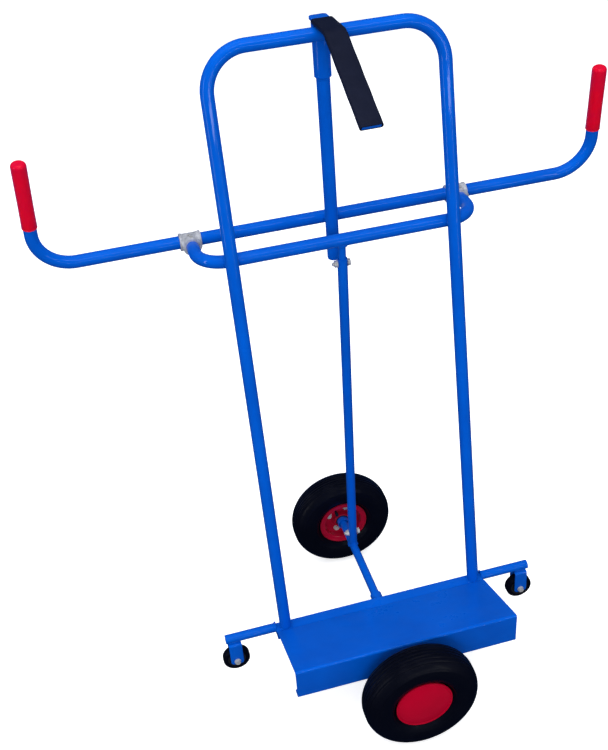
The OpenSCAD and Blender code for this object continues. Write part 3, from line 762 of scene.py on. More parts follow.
class TRUCK_OT_deck(bpy.types.Operator):
    """Folded deck sheet with rounded folds and eased edges"""

    bl_idname = "truck.deck"
    bl_label = "Deck"

    def execute(self, context):
        low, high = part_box("deck")
        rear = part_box("rear_cross_bar")[0].y
        slope = math.radians(19.66)
        sheet, fold, flange = 0.003, 0.005, 0.022
        fold_centre = (low.y + fold, high.z - fold)
        rear_z = fold_centre[1] + (fold - (rear - fold_centre[0]) * math.sin(slope)) / math.cos(slope)

        def face(depth):
            return (
                [(rear, rear_z - depth / math.cos(slope))]
                + arc(fold_centre, fold - depth, 90 - math.degrees(slope), 180, 16)
                + arc((low.y + fold, low.z + fold), fold - depth, 180, 270, 12)
                + [(low.y + flange, low.z + depth)])

        bm = prism(bmesh.new(), face(0) + face(sheet)[::-1], low.x, high.x, along_x, edge=0.0007, steps=4)
        reach = 0.002
        notch = rod(bmesh.new(), SLEEVE_R, -reach, flange + reach, Vector((0, low.y, AXLE_Z)), Y, 96)
        add_piece("deck_sheet", cut(bm, notch), "frame", "blue_paint", ["deck"], sharp=50)
        return {"FINISHED"}


class TRUCK_OT_cross_bar(bpy.types.Operator):
    """Rear cross bar with rounded corners, notched over the axle sleeve, and its end plates"""

    bl_idname = "truck.cross_bar"
    bl_label = "Rear cross bar"

    def execute(self, context):
        low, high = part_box("rear_cross_bar")
        corner, reach = 0.0032, 0.03
        right, left, top, bottom = high.y - corner, low.y + corner, high.z - corner, low.z + corner
        outline = []
        for start, spot in enumerate(((right, top), (left, top), (left, bottom), (right, bottom))):
            outline += arc(spot, corner, 90 * start, 90 * start + 90, 6)
        bar = prism(bmesh.new(), outline, low.x, high.x, along_x, edge=0.0003)
        notch = rod(bmesh.new(), SLEEVE_R, low.y - reach, high.y + reach, Vector((0, 0, AXLE_Z)), Y, 64)
        add_piece("cross_bar", cut(bar, notch), "frame", "blue_paint", ["rear_cross_bar"])
        plates = bmesh.new()
        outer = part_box("cross_bar_end_plates")[1].x
        for near, far in ((-outer, -high.x), (high.x, outer)):
            prism(plates, outline, near, far, along_x, edge=0.0006)
        add_piece("end_plates", plates, "frame", "blue_paint", ["cross_bar_end_plates"])
        return {"FINISHED"}


def weld_paths():
    """Path, radius and closed state of every weld on the frame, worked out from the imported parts."""
    size = settings("weld").bead
    touch_r = 0.0095
    behind = Vector((0, math.cos(LEAN), -math.sin(LEAN)))
    bar_low, bar_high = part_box("rear_cross_bar")
    frame_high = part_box("upright_frame")[1]
    leg_x, top_z = frame_high.x - TUBE_R, frame_high.z - TUBE_R
    top_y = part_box("guide_tube")[0].y - TUBE_R
    foot_y = top_y - (top_z - bar_high.z) * math.tan(LEAN)
    bow_line = Vector((0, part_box("bow")[0].y + TUBE_R, middle("bow").z))
    contact = bow_line - behind * TUBE_R
    plate_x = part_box("cross_bar_end_plates")[1].x
    arm, fork = middle("outrigger_right"), middle("fork_right")
    arm_r = extent("outrigger_right").z / 2
    half = extent("fork_right").x / 2 - 0.002
    fork_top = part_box("fork_right")[1].z
    for side in (-1, 1):
        foot = Vector((side * leg_x, foot_y, bar_high.z))
        yield ring_path(foot, Z, TUBE_R + size * 0.45, 1 / math.cos(LEAN), hint=Y), size, True
        yield ring_path(contact + X * (side * leg_x), behind, touch_r), size * 1.25, True
        yield ring_path(Vector((side * plate_x, arm.y, arm.z)), X, arm_r + size * 0.35), size * 0.9, True
        for edge in (-1, 1):
            start = Vector((side * fork.x - half, fork.y + edge * 0.0082, fork_top - 0.0002))
            yield [start, start + X * half * 2], size * 0.75, False
    yield ring_path(Vector((0, top_y + TUBE_R, top_z)), Y, touch_r), size * 1.2, True
    down = Vector((0, STRUT_FOOT_Y - bow_line.y, AXLE_Z - bow_line.z)).normalized()
    clear = down * 0.06
    stub_r = extent("strut_stub").x / 2 + size * 0.4
    yield saddle_path(bow_line + clear, -down, stub_r, bow_line, X, TUBE_R), size * 1.3, True
    axle_r = extent("axle").x / 2 + size * 0.2
    strut_r = extent("support_strut").x / 2 + size * 0.2
    foot = bow_line + down * ((bow_line.z - AXLE_Z) / -down.z)
    yield saddle_path(foot - clear, down, strut_r, foot, Y, axle_r), size, True
    for y in (bar_low.y, bar_high.y):
        yield ring_path(Vector((0, y, AXLE_Z)), Y, SLEEVE_R + size * 0.3, 1.0, -125, 125), size, False
    web_low, web_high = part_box("deck_web")
    deck_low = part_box("deck")[0]
    for side in (-1, 1):
        start = Vector((side * (web_high.x + size * 0.3), web_low.y, AXLE_Z + SLEEVE_R + size * 0.2))
        yield [start, start + Y * (web_high.y - web_low.y)], size * 0.9, False
        start = Vector((side * 0.0055, deck_low.y + 0.003, deck_low.z - size * 0.3))
        yield [start, start + Y * 0.024], size * 0.9, False
    stitches, stitch = 6, 0.036
    deck_l = extent("deck").x
    for i in range(stitches):
        x = -deck_l / 2 + deck_l * (i + 0.5) / stitches
        start = Vector((x - stitch / 2, bar_low.y - size * 0.2, bar_high.z - size * 1.6))
        yield [start, start + X * stitch], size, False


class TRUCK_OT_welds(bpy.types.Operator):
    """Painted weld beads at every welded joint of the frame"""

    bl_idname = "truck.welds"
    bl_label = "Weld beads"

    def execute(self, context):
        bm = bmesh.new()
        for path, radius, closed in weld_paths():
            bead(bm, path, radius, closed)
        add_piece("weld_beads", bm, "frame", "blue_paint", sharp=80)
        return {"FINISHED"}


def tyre_profile():
    """Outer and inner outline of a main tyre: (radius, distance from its middle plane)."""
    shape = settings("tyre")
    half = extent("front_tyre").y / 2
    mid_r, height = WHEEL_R - 0.034, 0.0345
    reach = shape.grooves_each_side
    grooves = [i * shape.groove_pitch for i in range(-reach, reach + 1)]

    def section(t, thin_r, thin_w):
        """A point of the squarish oval section, at an angle."""
        c, s = math.cos(t), math.sin(t)
        return (mid_r + (height - thin_r) * math.copysign(abs(s) ** 0.85, s),
                (half - thin_w) * math.copysign(abs(c) ** 0.85, c))

    outer = []
    count = 220
    start = math.radians(-58)
    for i in range(count + 1):
        t = start + (math.pi - 2 * start) * i / count
        r, w = section(t, 0, 0)
        r = min(r, WHEEL_R)
        if math.sin(t) > 0.25:
            depth = sum(math.exp(-((w - g) / shape.groove_width) ** 4) for g in grooves)
            r -= shape.groove_depth * min(1.0, depth) * (1 - abs(w) / half * 0.35)
        if abs(math.cos(t)) > 0.3:
            ridges = ((0.0007, 0.108, 0.0012), (0.0009, 0.0725, 0.0016))
            rise = sum(h * math.exp(-(((r - at) / spread) ** 2)) for h, at, spread in ridges)
            w += math.copysign(rise, w)
        outer.append((r, w))
    bead_r, bead_w, seat_r, wall = 0.0505, 0.0215, 0.0592, 0.012
    hollow = [section(math.radians(-50) + math.radians(280) * i / 39, 0.008, 0.006) for i in range(40)]
    inner = [(bead_r, bead_w - wall * 0.5)] + hollow + [(bead_r, -bead_w + wall * 0.5)]
    return [(bead_r, bead_w), (seat_r, bead_w)] + outer + [(seat_r, -bead_w), (bead_r, -bead_w)] + inner[::-1]


def rim_profile():
    """Outline of one pressed rim half, measured outwards from the wheel's middle plane."""
    flange = 0.022
    return (
        [(0.0211, 0.0001), (0.0495, 0.0001), (0.0499, 0.0006), (0.0499, flange - 0.001)]
        + arc((0.0519, flange - 0.002), 0.002, 180, 90, 5)
        + arc((0.0590, flange + 0.003), 0.003, -90, 0, 6)
        + arc((0.0605, flange + 0.0042), 0.0015, 0, 90, 4)
        + arc((0.0580, flange + 0.0035), 0.0012, 30, -90, 5)
        + arc((0.0505, flange - 0.0006), 0.003, 90, 180, 6)
        + [(0.0475, 0.008)]
        + arc((0.0425, 0.0078), 0.005, 0, -90, 8)
        + [(0.0345, 0.0026)]
        + arc((0.0310, 0.0052), 0.0022, -60, -120, 4)
        + arc((0.0270, 0.0022), 0.0022, 60, 120, 4)
        + [(0.0240, 0.0026), (0.0211, 0.0026)])


class TRUCK_OT_wheels(bpy.types.Operator):
    """Main wheels: ribbed tyres, pressed rims, hubs, rim bolts, valves and domed caps"""

    bl_idname = "truck.wheels"
    bl_label = "Main wheels"

    def execute(self, context):
        for name, side in WHEELS.items():
            centre = joint_place(name + "_wheel_spin")
            self.tyre_and_rim(name, centre, Y * side)
            self.bolts(name, centre, Y * side)
            self.valve(name, centre, Y * side)
            self.cap(name, centre, Y * side)
        return {"FINISHED"}

    def tyre_and_rim(self, name, centre, out):
        body = name + "_wheel"
        bm = lathe(bmesh.new(), tyre_profile(), centre, out, 192, close=True)
        add_piece(name + "_tyre_ribbed", bm, body, "tyre_rubber", [name + "_tyre"], sharp=60)
        for label, direction in (("outer", out), ("inner", -out)):
            bm = lathe(bmesh.new(), rim_profile(), centre, direction, 144, close=True)
            add_piece(f"{name}_rim_{label}_half", bm, body, "red_paint", [f"{name}_rim_{label}"], sharp=40)
        end = extent(name + "_hub").y / 2
        tube = [(0.0171, 0.0), (0.0209, 0.0), (0.0209, end - 0.0008), (0.0203, end), (0.0178, end),
                (0.0171, end - 0.0007)]
        seal = [(0.0101, end - 0.012), (0.0169, end - 0.012), (0.0169, end - 0.0006), (0.0160, end - 0.0004),
                (0.0157, end - 0.0012), (0.0126, end - 0.0014), (0.0122, end - 0.0006), (0.0101, end - 0.0006)]
        for label, profile, slot, node in (("_hub_tube", tube, "red_paint", "_hub"),
                                           ("_sealed_bearings", seal, "black_plastic", "_bearings")):
            bm = bmesh.new()
            for direction in (out, -out):
                lathe(bm, profile, centre, direction, 96, close=True)
            add_piece(name + label, bm, body, slot, [name + node])

    def bolts(self, name, centre, out):
        count, circle, sheets = 4, 0.0345, 0.0026
        bm = bmesh.new()
        for i in range(count):
            spot = centre + spoke((X, Z), math.radians(67 + 360 * i / count)) * circle
            washer(bm, spot - out * sheets, -out, 0.0082, 0.0010, 0.0013)
            hexagon_head(bm, spot - out * (sheets + 0.0013), -out, 0.0134, 0.0046, collar=False)
            hexagon_head(bm, spot + out * sheets, out, 0.0134, 0.0062)
            threaded_end(bm, spot + out * (sheets + 0.006), out, 0.0038, 0.0026)
        add_piece(name + "_rim_bolt_set", bm, name + "_wheel", "zinc", [name + "_rim_bolts"])

    def valve(self, name, centre, out):
        spot = middle(name + "_valve")
        start = Vector((spot.x, centre.y, spot.z)) - out * 0.0005
        profile = [(0, 0), (0.0042, 0), (0.0042, 0.006), (0.0034, 0.0075), (0.0029, 0.009), (0.0027, 0.018),
                   (0.0038, 0.0185), (0.0039, 0.0195)]
        for i in range(8):
            profile += [(0.0039, 0.020 + i * 0.0008), (0.0036, 0.0204 + i * 0.0008)]
        profile += [(0.0037, 0.0275), (0.0030, 0.0284), (0, 0.0286)]
        bm = lathe(bmesh.new(), profile, start, -out, 40)
        add_piece(name + "_valve_stem", bm, name + "_wheel", "black_rubber", [name + "_valve"])

    def cap(self, name, centre, out):
        low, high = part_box(name + "_hub_cap")
        crown = max(abs(low.y - centre.y), abs(high.y - centre.y))
        rim_r = extent(name + "_hub_cap").x / 2
        edge = crown - 0.0085
        dome_r = rim_r - 0.0045
        rise = crown - edge - 0.0012
        ball = (dome_r ** 2 + rise ** 2) / (2 * rise)
        steps = 28
        outer, under = [], []
        for i in range(steps + 1):
            r = dome_r * i / steps
            along = crown - (ball - math.sqrt(ball ** 2 - r ** 2))
            outer.append((r, along))
            under.append((max(0.0, r - 0.0004), along - 0.0022))
        rolled = arc((rim_r - 0.0018, edge + 0.0003), 0.0018, 155, -40, 12)
        lip = [(rim_r - 0.0008, edge - 0.0028), (rim_r - 0.0026, edge - 0.0030)]
        profile = outer + [(dome_r + 0.0006, edge + 0.0004)] + rolled + lip + under[::-1]
        bm = lathe(bmesh.new(), profile, centre, out, 160)
        add_piece(name + "_domed_cap", bm, name + "_wheel", "red_cap", [name + "_hub_cap"], sharp=50)


class TRUCK_OT_side_rollers(bpy.types.Operator):
    """Side rollers: rounded treads, webbed cores, bent forks and their bolts"""

    bl_idname = "truck.side_rollers"
    bl_label = "Side rollers"

    def execute(self, context):
        bolts, nuts = bmesh.new(), bmesh.new()
        for name in SIDES:
            centre = joint_place(name + "_roller_spin")
            self.roller(name, centre)
            self.fork(name, centre)
            reach = extent("fork_" + name).y / 2 + 0.0001
            face, back = centre - Y * reach, centre + Y * reach
            washer(bolts, face, -Y, 0.0078, 0.0011, 0.0014)
            hexagon_head(bolts, face - Y * 0.0014, -Y, 0.013, 0.005, collar=False)
            rod(bolts, 0.004, 0, 2 * reach, face, Y, 32)
            hexagon_head(nuts, back, Y, 0.013, 0.0064)
            threaded_end(bolts, back + Y * 0.0063, Y, 0.004, 0.0028)
        add_piece("roller_bolt_set", bolts, "frame", "zinc", ["roller_bolts"])
        add_piece("roller_nut_set", nuts, "frame", "zinc", ["roller_nuts"])
        return {"FINISHED"}

    def roller(self, name, centre):
        size = extent("roller_tyre_" + name)
        r, half = size.z / 2, size.y / 2
        round_r, bore, shoulder = 0.0055, 0.0212, r - 0.0085
        round_at = r - round_r - 0.0004
        profile = (
            [(bore, -half + 0.0022), (shoulder, -half + 0.0006)]
            + arc((round_at, -half + round_r), round_r, -90, 0, 10)
            + arc((round_at, half - round_r), round_r, 0, 90, 10)
            + [(shoulder, half - 0.0006), (bore, half - 0.0022)])
        bm = lathe(bmesh.new(), profile, centre, Y, 96, close=True)
        add_piece("roller_tread_" + name, bm, name + "_roller", "tyre_rubber", ["roller_tyre_" + name])
        hub = half + 0.0008
        web = 0.0045
        side = [(0.0041, hub), (0.0082, hub), (0.0088, hub - 0.0006), (0.0092, web + 0.001), (0.0104, web),
                (0.0172, web), (0.0184, web + 0.001), (0.0190, half - 0.0028), (0.0210, half - 0.0026)]
        bm = lathe(bmesh.new(), side + [(a, -w) for a, w in reversed(side)], centre, Y, 96, close=True)
        add_piece("roller_wheel_" + name, bm, name + "_roller", "black_plastic", ["roller_core_" + name])

    def fork(self, name, centre):
        low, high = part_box("fork_" + name)
        mid = middle("fork_" + name)
        half_w, outer = (high.x - low.x) / 2, (high.y - low.y) / 2
        sheet, bend, toe, past = 0.003, 0.0055, 0.009, 0.01
        crown = high.z - 0.0022
        left, right = (-outer + bend, crown - bend), (outer - bend, crown - bend)
        outline = (
            [(-outer, low.z), (-outer, crown - bend)]
            + arc(left, bend, 180, 90, 8) + arc(right, bend, 90, 0, 8)
            + [(outer, low.z), (outer - sheet, low.z)]
            + arc(right, bend - sheet, 0, 90, 8) + arc(left, bend - sheet, 90, 180, 8)
            + [(-outer + sheet, low.z)])

        def place(a, b, depth):
            return Vector((mid.x + depth, mid.y + a, b))

        shaped = prism(bmesh.new(), outline, -half_w, half_w, place, edge=0.0006)
        top = low.z + toe
        corner = (
            [(-half_w - past, low.z - past), (-half_w - past, top), (-half_w - 0.001, top)]
            + arc((-half_w + toe, top), toe, 180, 270, 10) + [(half_w - toe, low.z)]
            + arc((half_w - toe, top), toe, 270, 360, 10)[1:]
            + [(half_w + 0.001, top), (half_w + past, top), (half_w + past, low.z - past)])
        cutter = bmesh.new()
        bridge(cutter, [[cutter.verts.new(place(y, b, a)) for a, b in corner]
                        for y in (-outer - past, outer + past)])
        shaped = cut(shaped, cutter)
        shaped = cut(shaped, rod(bmesh.new(), 0.0042, -0.05, 0.05, centre, Y, 32))
        arm = middle("outrigger_right")
        arm_r = extent("outrigger_right").z / 2 + 0.0001
        hollow = rod(bmesh.new(), arm_r, -half_w, half_w, Vector((mid.x, mid.y, arm.z)), X, 64)
        block_w, block_low = 0.0085, crown - 0.001
        block = prism(
            bmesh.new(), [(-block_w, block_low), (block_w, block_low), (block_w, high.z), (-block_w, high.z)],
            -half_w + 0.001, half_w - 0.001, place, edge=0.0003)
        data = bpy.data.meshes.new("seat")
        seat = cut(block, hollow)
        seat.to_mesh(data)
        seat.free()
        shaped.from_mesh(data)
        bpy.data.meshes.remove(data)
        add_piece("fork_bent_" + name, shaped, "frame", "blue_paint", ["fork_" + name])


class TRUCK_OT_tees(bpy.types.Operator):
    """Cast tee clamps with flared rims, screw bosses and socket set screws"""

    bl_idname = "truck.tees"
    bl_label = "Tee clamps"

    def execute(self, context):
        screws = bmesh.new()
        tilt = math.radians(32)
        for name, side in SIDES.items():
            low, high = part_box("tee_" + name)
            axis_place = joint_place("handle_tilt")
            centre = Vector(((low.x + high.x) / 2, axis_place.y, axis_place.z))
            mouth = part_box("tee_right")[0].y + 0.008
            spots = [(centre + X * (0.003 * side), Vector((0, -math.sin(tilt), math.cos(tilt)))),
                     (Vector((centre.x, mouth, centre.z)), Z)]
            self.casting(name, centre, (high.x - low.x) / 2, centre.y - low.y, spots)
            for spot, direction in spots:
                self.screw(screws, spot, direction)
        add_piece("socket_set_screws", screws, "frame", "zinc", ["tee_set_screws"])
        return {"FINISHED"}

    def casting(self, name, centre, half, reach, spots):
        body_r, rim_r = 0.0172, 0.0188
        bm = bmesh.new()
        flare = [(0, -half), (rim_r - 0.0006, -half), (rim_r, -half + 0.001), (rim_r, -half + 0.004),
                 (body_r, -half + 0.0075), (body_r, half - 0.0075), (rim_r, half - 0.004),
                 (rim_r, half - 0.001), (rim_r - 0.0006, half), (0, half)]
        neck = [(0, 0), (body_r, 0), (body_r, reach - 0.008), (0.0193, reach - 0.0045), (0.0195, reach - 0.001),
                (0.0189, reach), (0, reach)]
        boss = [(0, 0), (0.0074, 0), (0.0074, 0.0188), (0.0066, 0.0204), (0, 0.0204)]
        lathe(bm, flare, centre, X, 72)
        lathe(bm, neck, centre, -Y, 72)
        for spot, direction in spots:
            lathe(bm, boss, spot, direction, 40)
        rough = new_object("tee_rough", mesh_from(bm, "tee_rough"))
        blend = rough.modifiers.new("blend", "REMESH")
        blend.mode = "VOXEL"
        blend.voxel_size = 0.0009
        soften = rough.modifiers.new("soften", "SMOOTH")
        soften.factor = 0.5
        soften.iterations = 5
        cast = take_shape(rough)
        bore = TUBE_R + 0.00005
        cast = cut(cast, rod(bmesh.new(), bore, -0.05, 0.05, centre, X, 84))
        cast = cut(cast, rod(bmesh.new(), bore, 0, 0.06, centre - Y * 0.0145, -Y, 84))
        for spot, direction in spots:
            cast = cut(cast, rod(bmesh.new(), 0.0043, 0.010, 0.03, spot, direction, 32))
        add_piece("tee_casting_" + name, cast, "frame", "galvanised", ["tee_" + name], sharp=45)

    def screw(self, bm, spot, direction):
        axes = axes_for(direction)
        top = 0.0197
        outer, rim, socket = 0.0041, 0.0033, 0.0024
        rings = []
        for along, radius in ((TUBE_R + 0.0001, outer), (top - 0.0006, outer), (top, rim), (top, socket),
                              (top - 0.003, socket)):
            rings.append([
                bm.verts.new(spot + direction * along + spoke(axes, t) * (
                    hexagon_reach(radius, t) if radius == socket else radius))
                for t in turns(24)])
        bridge(bm, rings)


HOOK_TURN = math.radians(1.2)
HOOK_WIDTH = 0.035
HOOK_THICK = 0.006
HOOK_SLOPE = math.radians(30.6)
SLEEVE_WIDTH = HOOK_WIDTH + 0.0086
SLEEVE_BACK = 0.1893


def turned_on_rod(bm):
    """Turns the hook's pieces about the rod by the hook's standing turn."""
    axis_place = joint_place("hook_swivel")
    bmesh.ops.rotate(bm, cent=axis_place, matrix=Matrix.Rotation(HOOK_TURN, 3, "Z"), verts=bm.verts)
    return bm


def strip(distance, back_y):
    """Line of points, in the YZ plane, at a distance from the middle of the bent hook bar."""
    flat_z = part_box("hook_bar")[1].z - HOOK_THICK / 2
    knee_y, arm_l = 0.121, 0.208
    turn_r = 0.030 + HOOK_THICK / 2
    centre = (knee_y, flat_z - turn_r)
    tip = (knee_y - turn_r * math.sin(HOOK_SLOPE) - arm_l * math.cos(HOOK_SLOPE),
           centre[1] + turn_r * math.cos(HOOK_SLOPE) - arm_l * math.sin(HOOK_SLOPE))
    straight = [(back_y + (knee_y - back_y) * i / 8, flat_z + distance) for i in range(8)]
    knee = arc(centre, turn_r + distance, 90, 90 + math.degrees(HOOK_SLOPE), 12)
    last = Vector(knee[-1])
    final = Vector((tip[0] - math.sin(HOOK_SLOPE) * distance, tip[1] + math.cos(HOOK_SLOPE) * distance))
    return straight + knee + [tuple(last.lerp(final, i / 16)) for i in range(1, 17)]


def flat_ring(bm, top, bottom, half, ease):
    """A ring round a flat bar whose four long edges are eased."""
    centre = (Vector(top) + Vector(bottom)) / 2
    up = Vector(top) - centre
    height = up.length
    up.normalize()
    ring = []
    for sx, sz, start in ((1, 1, 0), (-1, 1, 90), (-1, -1, 180), (1, -1, 270)):
        for x, z in arc((sx * (half - ease), sz * (height - ease)), ease, start, start + 90, 3):
            ring.append(bm.verts.new(Vector((x, centre.x + up.x * z, centre.y + up.y * z))))
    return ring


class TRUCK_OT_hook(bpy.types.Operator):
    """Bent flat hook bar with rounded corners, in its rubber sleeve, and the rod's rounded end"""

    bl_idname = "truck.hook"
    bl_label = "Hook"

    def execute(self, context):
        self.bar()
        self.sleeve()
        self.rod_end()
        return {"FINISHED"}

    def bar(self):
        back = joint_place("hook_swivel").y + 0.017
        half, corner = HOOK_WIDTH / 2, 0.007
        stations = list(zip(strip(HOOK_THICK / 2, back), strip(-HOOK_THICK / 2, back)))
        (_, top_z), (_, bottom_z) = stations[0]
        stations[1:1] = [((back - d, top_z), (back - d, bottom_z))
                         for d in (0.0004, 0.0012, 0.0025, 0.0045, corner)]
        bm = bmesh.new()
        loops = []
        for top, bottom in stations:
            short = max(0.0, corner - back + (top[0] + bottom[0]) / 2)
            width = half - corner + math.sqrt(max(0.0, corner ** 2 - short ** 2))
            loops.append(flat_ring(bm, top, bottom, width, 0.0007))
        bridge(bm, loops)
        add_piece("hook_flat_bar", turned_on_rod(bm), "hook", "blue_paint", ["hook_bar"], sharp=50)

    def sleeve(self):
        half_w, half_t = SLEEVE_WIDTH / 2, 0.0053
        inner_w, inner_t = HOOK_WIDTH / 2 + 0.0001, 0.00312
        bm = bmesh.new()
        sides = [strip(distance, SLEEVE_BACK) for distance in (half_t, -half_t, inner_t, -inner_t)]
        last = len(sides[0]) - 1
        outer, inner = [], []
        for i, (top, bottom, inner_top, inner_bottom) in enumerate(zip(*sides)):
            sag = 0.00025 * math.sin(i * 1.3) if 0 < i < last else 0.0
            outer.append(flat_ring(bm, top, bottom, half_w + sag, 0.0047))
            inner.append(flat_ring(bm, inner_top, inner_bottom, inner_w, 0.0004))
        bridge(bm, outer, caps=False)
        bridge(bm, inner, caps=False)
        for end in (0, -1):
            bridge(bm, [outer[end], inner[end]], caps=False)
        add_piece("hook_rubber_sleeve", turned_on_rod(bm), "hook", "black_rubber", ["hook_sleeve"], sharp=60)

    def rod_end(self):
        place = middle("hook_rod_cap")
        height = extent("hook_rod_cap").z
        place.z -= height / 2
        round_r = 0.004
        rounded = arc((TUBE_R - round_r, round_r), round_r, -90, 0, 12)
        profile = [(0, 0)] + rounded + [(TUBE_R, height), (0, height)]
        bm = lathe(bmesh.new(), profile, place, Z, 84)
        add_piece("hook_rod_rounded_end", bm, "hook", "blue_paint", ["hook_rod_cap"])


class TRUCK_OT_grips(bpy.types.Operator):
    """Dip-moulded vinyl grips with domed ends and soft rims"""

    bl_idname = "truck.grips"
    bl_label = "Grips"

    def execute(self, context):
        tilt, lean_in = math.radians(8.4), math.radians(3)
        length, r, dome_r, bore = 0.143, 0.01525, 0.0085, TUBE_R + 0.0001
        profile = (
            [(bore, 0.0003), (r - 0.0002, 0.0)]
            + arc((r - 0.0009, 0.0012), 0.0012, -60, 70, 6)
            + [(r + 0.0001, 0.004), (r - 0.0001, 0.02), (r - 0.00025, 0.05), (r - 0.0001, 0.10), (r, 0.128)]
            + arc((r - dome_r, length - 0.0073), dome_r, 0, 62, 12)
            + [(0.008, length - 0.0002), (0.004, length), (0, length), (0, 0.1395), (bore, 0.1392),
               (bore, 0.0003)])
        for name, side in SIDES.items():
            direction = Vector((-side * math.sin(lean_in), 0, math.cos(lean_in)))
            direction.rotate(Matrix.Rotation(tilt, 3, "X"))
            centre = middle("grip_" + name) - X * (side * 0.0003)
            bm = lathe(bmesh.new(), profile, centre - direction * (length / 2), direction, 96)
            bmesh.ops.remove_doubles(bm, verts=bm.verts, dist=1e-7)
            add_piece("grip_vinyl_" + name, bm, "handle", "red_vinyl", ["grip_" + name], sharp=60)
        return {"FINISHED"}


class TRUCK_OT_strut_bolts(bpy.types.Operator):
    """Cross bolts, washers and nuts through the top and the foot of the support strut"""

    bl_idname = "truck.strut_bolts"
    bl_label = "Strut bolts"

    def execute(self, context):
        strut_r = extent("support_strut").x / 2
        low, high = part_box("strut_nuts")
        hex_r, washer_t = 0.0075, 0.0014
        bolts, nuts = bmesh.new(), bmesh.new()
        for centre in (Vector((0, low.y + hex_r, high.z - hex_r)), Vector((0, high.y - hex_r, low.z + hex_r))):
            right, left = centre + X * (strut_r + 0.0001), centre - X * (strut_r + 0.0001)
            washer(bolts, right, X, 0.0080, 0.0010, washer_t)
            hexagon_head(bolts, right + X * washer_t, X, 0.0146, 0.0050, collar=False)
            rod(bolts, 0.004, 0, 2 * strut_r, right, -X, 32)
            threaded_end(bolts, left - X * 0.0063, -X, 0.004, 0.0045)
            washer(nuts, left, -X, 0.0080, 0.0010, washer_t)
            hexagon_head(nuts, left - X * washer_t, -X, 0.0146, 0.0052, collar=False)
        add_piece("strut_cross_bolts", bolts, "frame", "zinc", ["strut_bolts"])
        add_piece("strut_lock_nuts", nuts, "frame", "zinc", ["strut_nuts"])
        return {"FINISHED"}


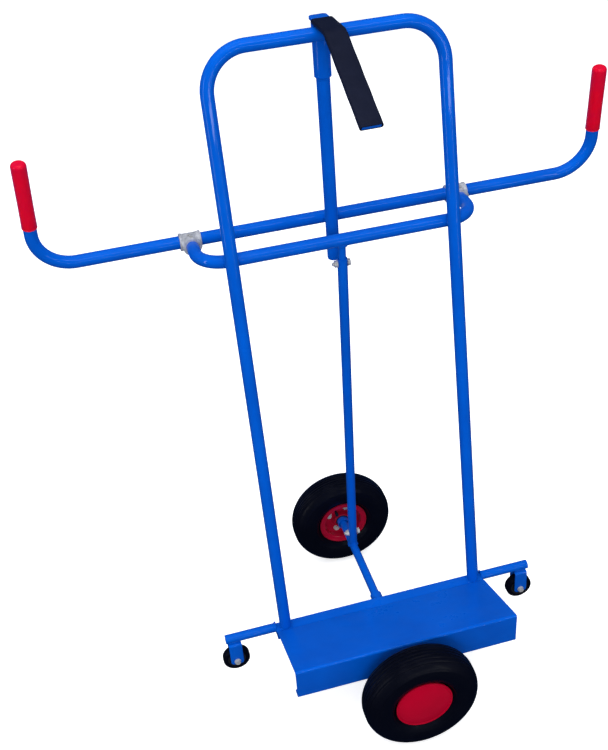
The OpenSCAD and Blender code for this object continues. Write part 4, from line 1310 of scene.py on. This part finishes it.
class TRUCK_OT_stage(bpy.types.Operator):
    """Pale floor, soft lights and the camera"""

    bl_idname = "truck.stage"
    bl_label = "Stage"

    def execute(self, context):
        self.floor()
        self.world()
        self.lights()
        self.camera()
        bpy.context.scene.view_settings.view_transform = "Standard"
        return {"FINISHED"}

    def floor(self):
        bm = bmesh.new()
        bmesh.ops.create_grid(bm, x_segments=1, y_segments=1, size=14.0)
        data = bpy.data.meshes.new("floor")
        bm.to_mesh(data)
        bm.free()
        floor = new_object("floor", data)
        floor.location.z = -0.0005
        pale = tuple(settings("stage").floor)
        finish = Finish("pale_floor", specular=0.0)
        finish.mottle(2.0, pale, shade(pale, 0.99), 0.7, 0.8)
        finish.link()
        self.glow(finish.tree, finish.shader)
        data.materials.append(finish.material)

    def glow(self, tree, shader):
        """Lights the floor evenly for the eye; in the paint's reflections only its far part is light."""
        ray = tree.nodes.new("ShaderNodeLightPath").outputs
        seen = tree.nodes.new("ShaderNodeEmission")
        seen.inputs["Strength"].default_value = 0.62
        bright = tree.nodes.new("ShaderNodeAddShader")
        tree.links.new(shader.outputs[0], bright.inputs[0])
        tree.links.new(seen.outputs[0], bright.inputs[1])
        dim = tree.nodes.new("ShaderNodeEmission")
        along = tree.nodes.new("ShaderNodeSeparateXYZ")
        tree.links.new(tree.nodes.new("ShaderNodeTexCoord").outputs["Object"], along.inputs[0])
        behind = range_node(tree, along.outputs["Y"], 0.5, 2.2)
        tree.links.new(mix_node(tree, behind, (0.006, 0.02, 0.07), (0.01, 0.11, 0.60)), dim.inputs["Color"])
        bounce = tree.nodes.new("ShaderNodeBsdfDiffuse")
        bounce.inputs["Color"].default_value = (0.3, 0.3, 0.3, 1.0)
        below = self.choose(tree, ray["Is Glossy Ray"], bounce, dim)
        final = self.choose(tree, ray["Is Camera Ray"], below, bright)
        tree.links.new(final.outputs[0], tree.nodes["Material Output"].inputs["Surface"])

    def choose(self, tree, factor, first, second):
        mix = tree.nodes.new("ShaderNodeMixShader")
        for socket, wanted in zip(mix.inputs, (factor, first.outputs[0], second.outputs[0])):
            tree.links.new(wanted, socket)
        return mix

    def world(self):
        world = bpy.data.worlds.new("studio")
        bpy.context.scene.world = world
        world.use_nodes = True
        tree = world.node_tree
        ray = tree.nodes.new("ShaderNodeLightPath").outputs
        shaded = mix_node(tree, ray["Is Glossy Ray"], (0.44, 0.46, 0.50), (0.012, 0.03, 0.09))
        tree.links.new(
            mix_node(tree, ray["Is Camera Ray"], shaded, (1.0, 1.0, 1.0)),
            tree.nodes["Background"].inputs["Color"])

    def lights(self):
        lamps = [
            ("overhead", (-0.4, -0.6, 4.2), (3.0, 3.0), 90.0, False, 0.4),
            ("front_soft", (-1.4, -4.6, 2.6), (2.4, 1.8), 90.0, False, 0.6),
            ("right_strip", (2.4, -3.4, 1.3), (0.28, 2.8), 10.0, True, 0.8),
            ("left_strip", (-3.6, -0.9, 1.4), (0.30, 2.8), 12.0, True, 0.8),
            ("low_strip", (0.9, -4.6, 1.1), (3.2, 0.22), 12.0, True, 0.9),
            ("high_strip", (0.6, -2.2, 3.9), (2.6, 0.3), 8.0, True, 0.9),
            ("back", (1.0, 4.0, 2.4), (3.0, 1.6), 40.0, False, 0.7),
        ]
        for name, place, size, watts, shines, aim_z in lamps:
            data = bpy.data.lights.new(name, "AREA")
            data.shape = "RECTANGLE"
            data.size, data.size_y = size
            data.energy = watts
            lamp = new_object(name, data)
            lamp.location = place
            lamp.visible_glossy = shines
            lamp.rotation_mode = "QUATERNION"
            lamp.rotation_quaternion = (Z * aim_z - Vector(place)).to_track_quat("-Z", "Y")

    def camera(self):
        stage = settings("stage")
        azimuth, elevation = math.radians(stage.azimuth), math.radians(stage.elevation)
        back = spoke((spoke((-Y, X), azimuth), Z), elevation)
        level = Z.cross(back).normalized()
        upright = back.cross(level)
        roll = math.radians(stage.roll)
        right, up = spoke((level, upright), roll), spoke((upright, -level), roll)
        data = bpy.data.cameras.new("camera")
        data.lens = stage.lens
        data.sensor_width = 36.0
        data.clip_start, data.clip_end = 0.05, 60.0
        camera = new_object("camera", data)
        turn = Matrix((right, up, back)).transposed().to_4x4()
        camera.matrix_world = Matrix.Translation(Vector(stage.place)) @ turn
        bpy.context.scene.camera = camera


class TRUCK_PT_panel(bpy.types.Panel):
    """Lists the operators that build the hand truck"""

    bl_idname = "TRUCK_PT_panel"
    bl_label = "Hand Truck"
    bl_space_type = "VIEW_3D"
    bl_region_type = "UI"
    bl_category = "Hand Truck"

    def draw(self, context):
        for operator in PIECE_OPERATORS:
            self.layout.operator(operator.bl_idname)
        for group in GROUPS:
            box = self.layout.box()
            values = settings(group)
            for name in values.__annotations__:
                box.prop(values, name)


GROUPS = {"paint": TruckPaint, "tyre": TruckTyre, "weld": TruckWeld, "stage": TruckStage}
PIECE_OPERATORS = (
    TRUCK_OT_stage, TRUCK_OT_paint_frame, TRUCK_OT_deck, TRUCK_OT_cross_bar, TRUCK_OT_welds,
    TRUCK_OT_wheels, TRUCK_OT_side_rollers, TRUCK_OT_tees, TRUCK_OT_hook, TRUCK_OT_grips,
    TRUCK_OT_strut_bolts)


def register():
    for group in GROUPS.values():
        bpy.utils.register_class(group)
    for name, group in GROUPS.items():
        setattr(bpy.types.Scene, "truck_" + name, bpy.props.PointerProperty(type=group))
    for operator in PIECE_OPERATORS:
        bpy.utils.register_class(operator)
    bpy.utils.register_class(TRUCK_PT_panel)


def unregister():
    bpy.utils.unregister_class(TRUCK_PT_panel)
    for operator in reversed(PIECE_OPERATORS):
        bpy.utils.unregister_class(operator)
    for name in GROUPS:
        delattr(bpy.types.Scene, "truck_" + name)
    for group in reversed(list(GROUPS.values())):
        bpy.utils.unregister_class(group)


def main():
    register()
    for operator in PIECE_OPERATORS:
        group, action = operator.bl_idname.split(".")
        getattr(getattr(bpy.ops, group), action)()


if __name__ == "__main__":
    main()
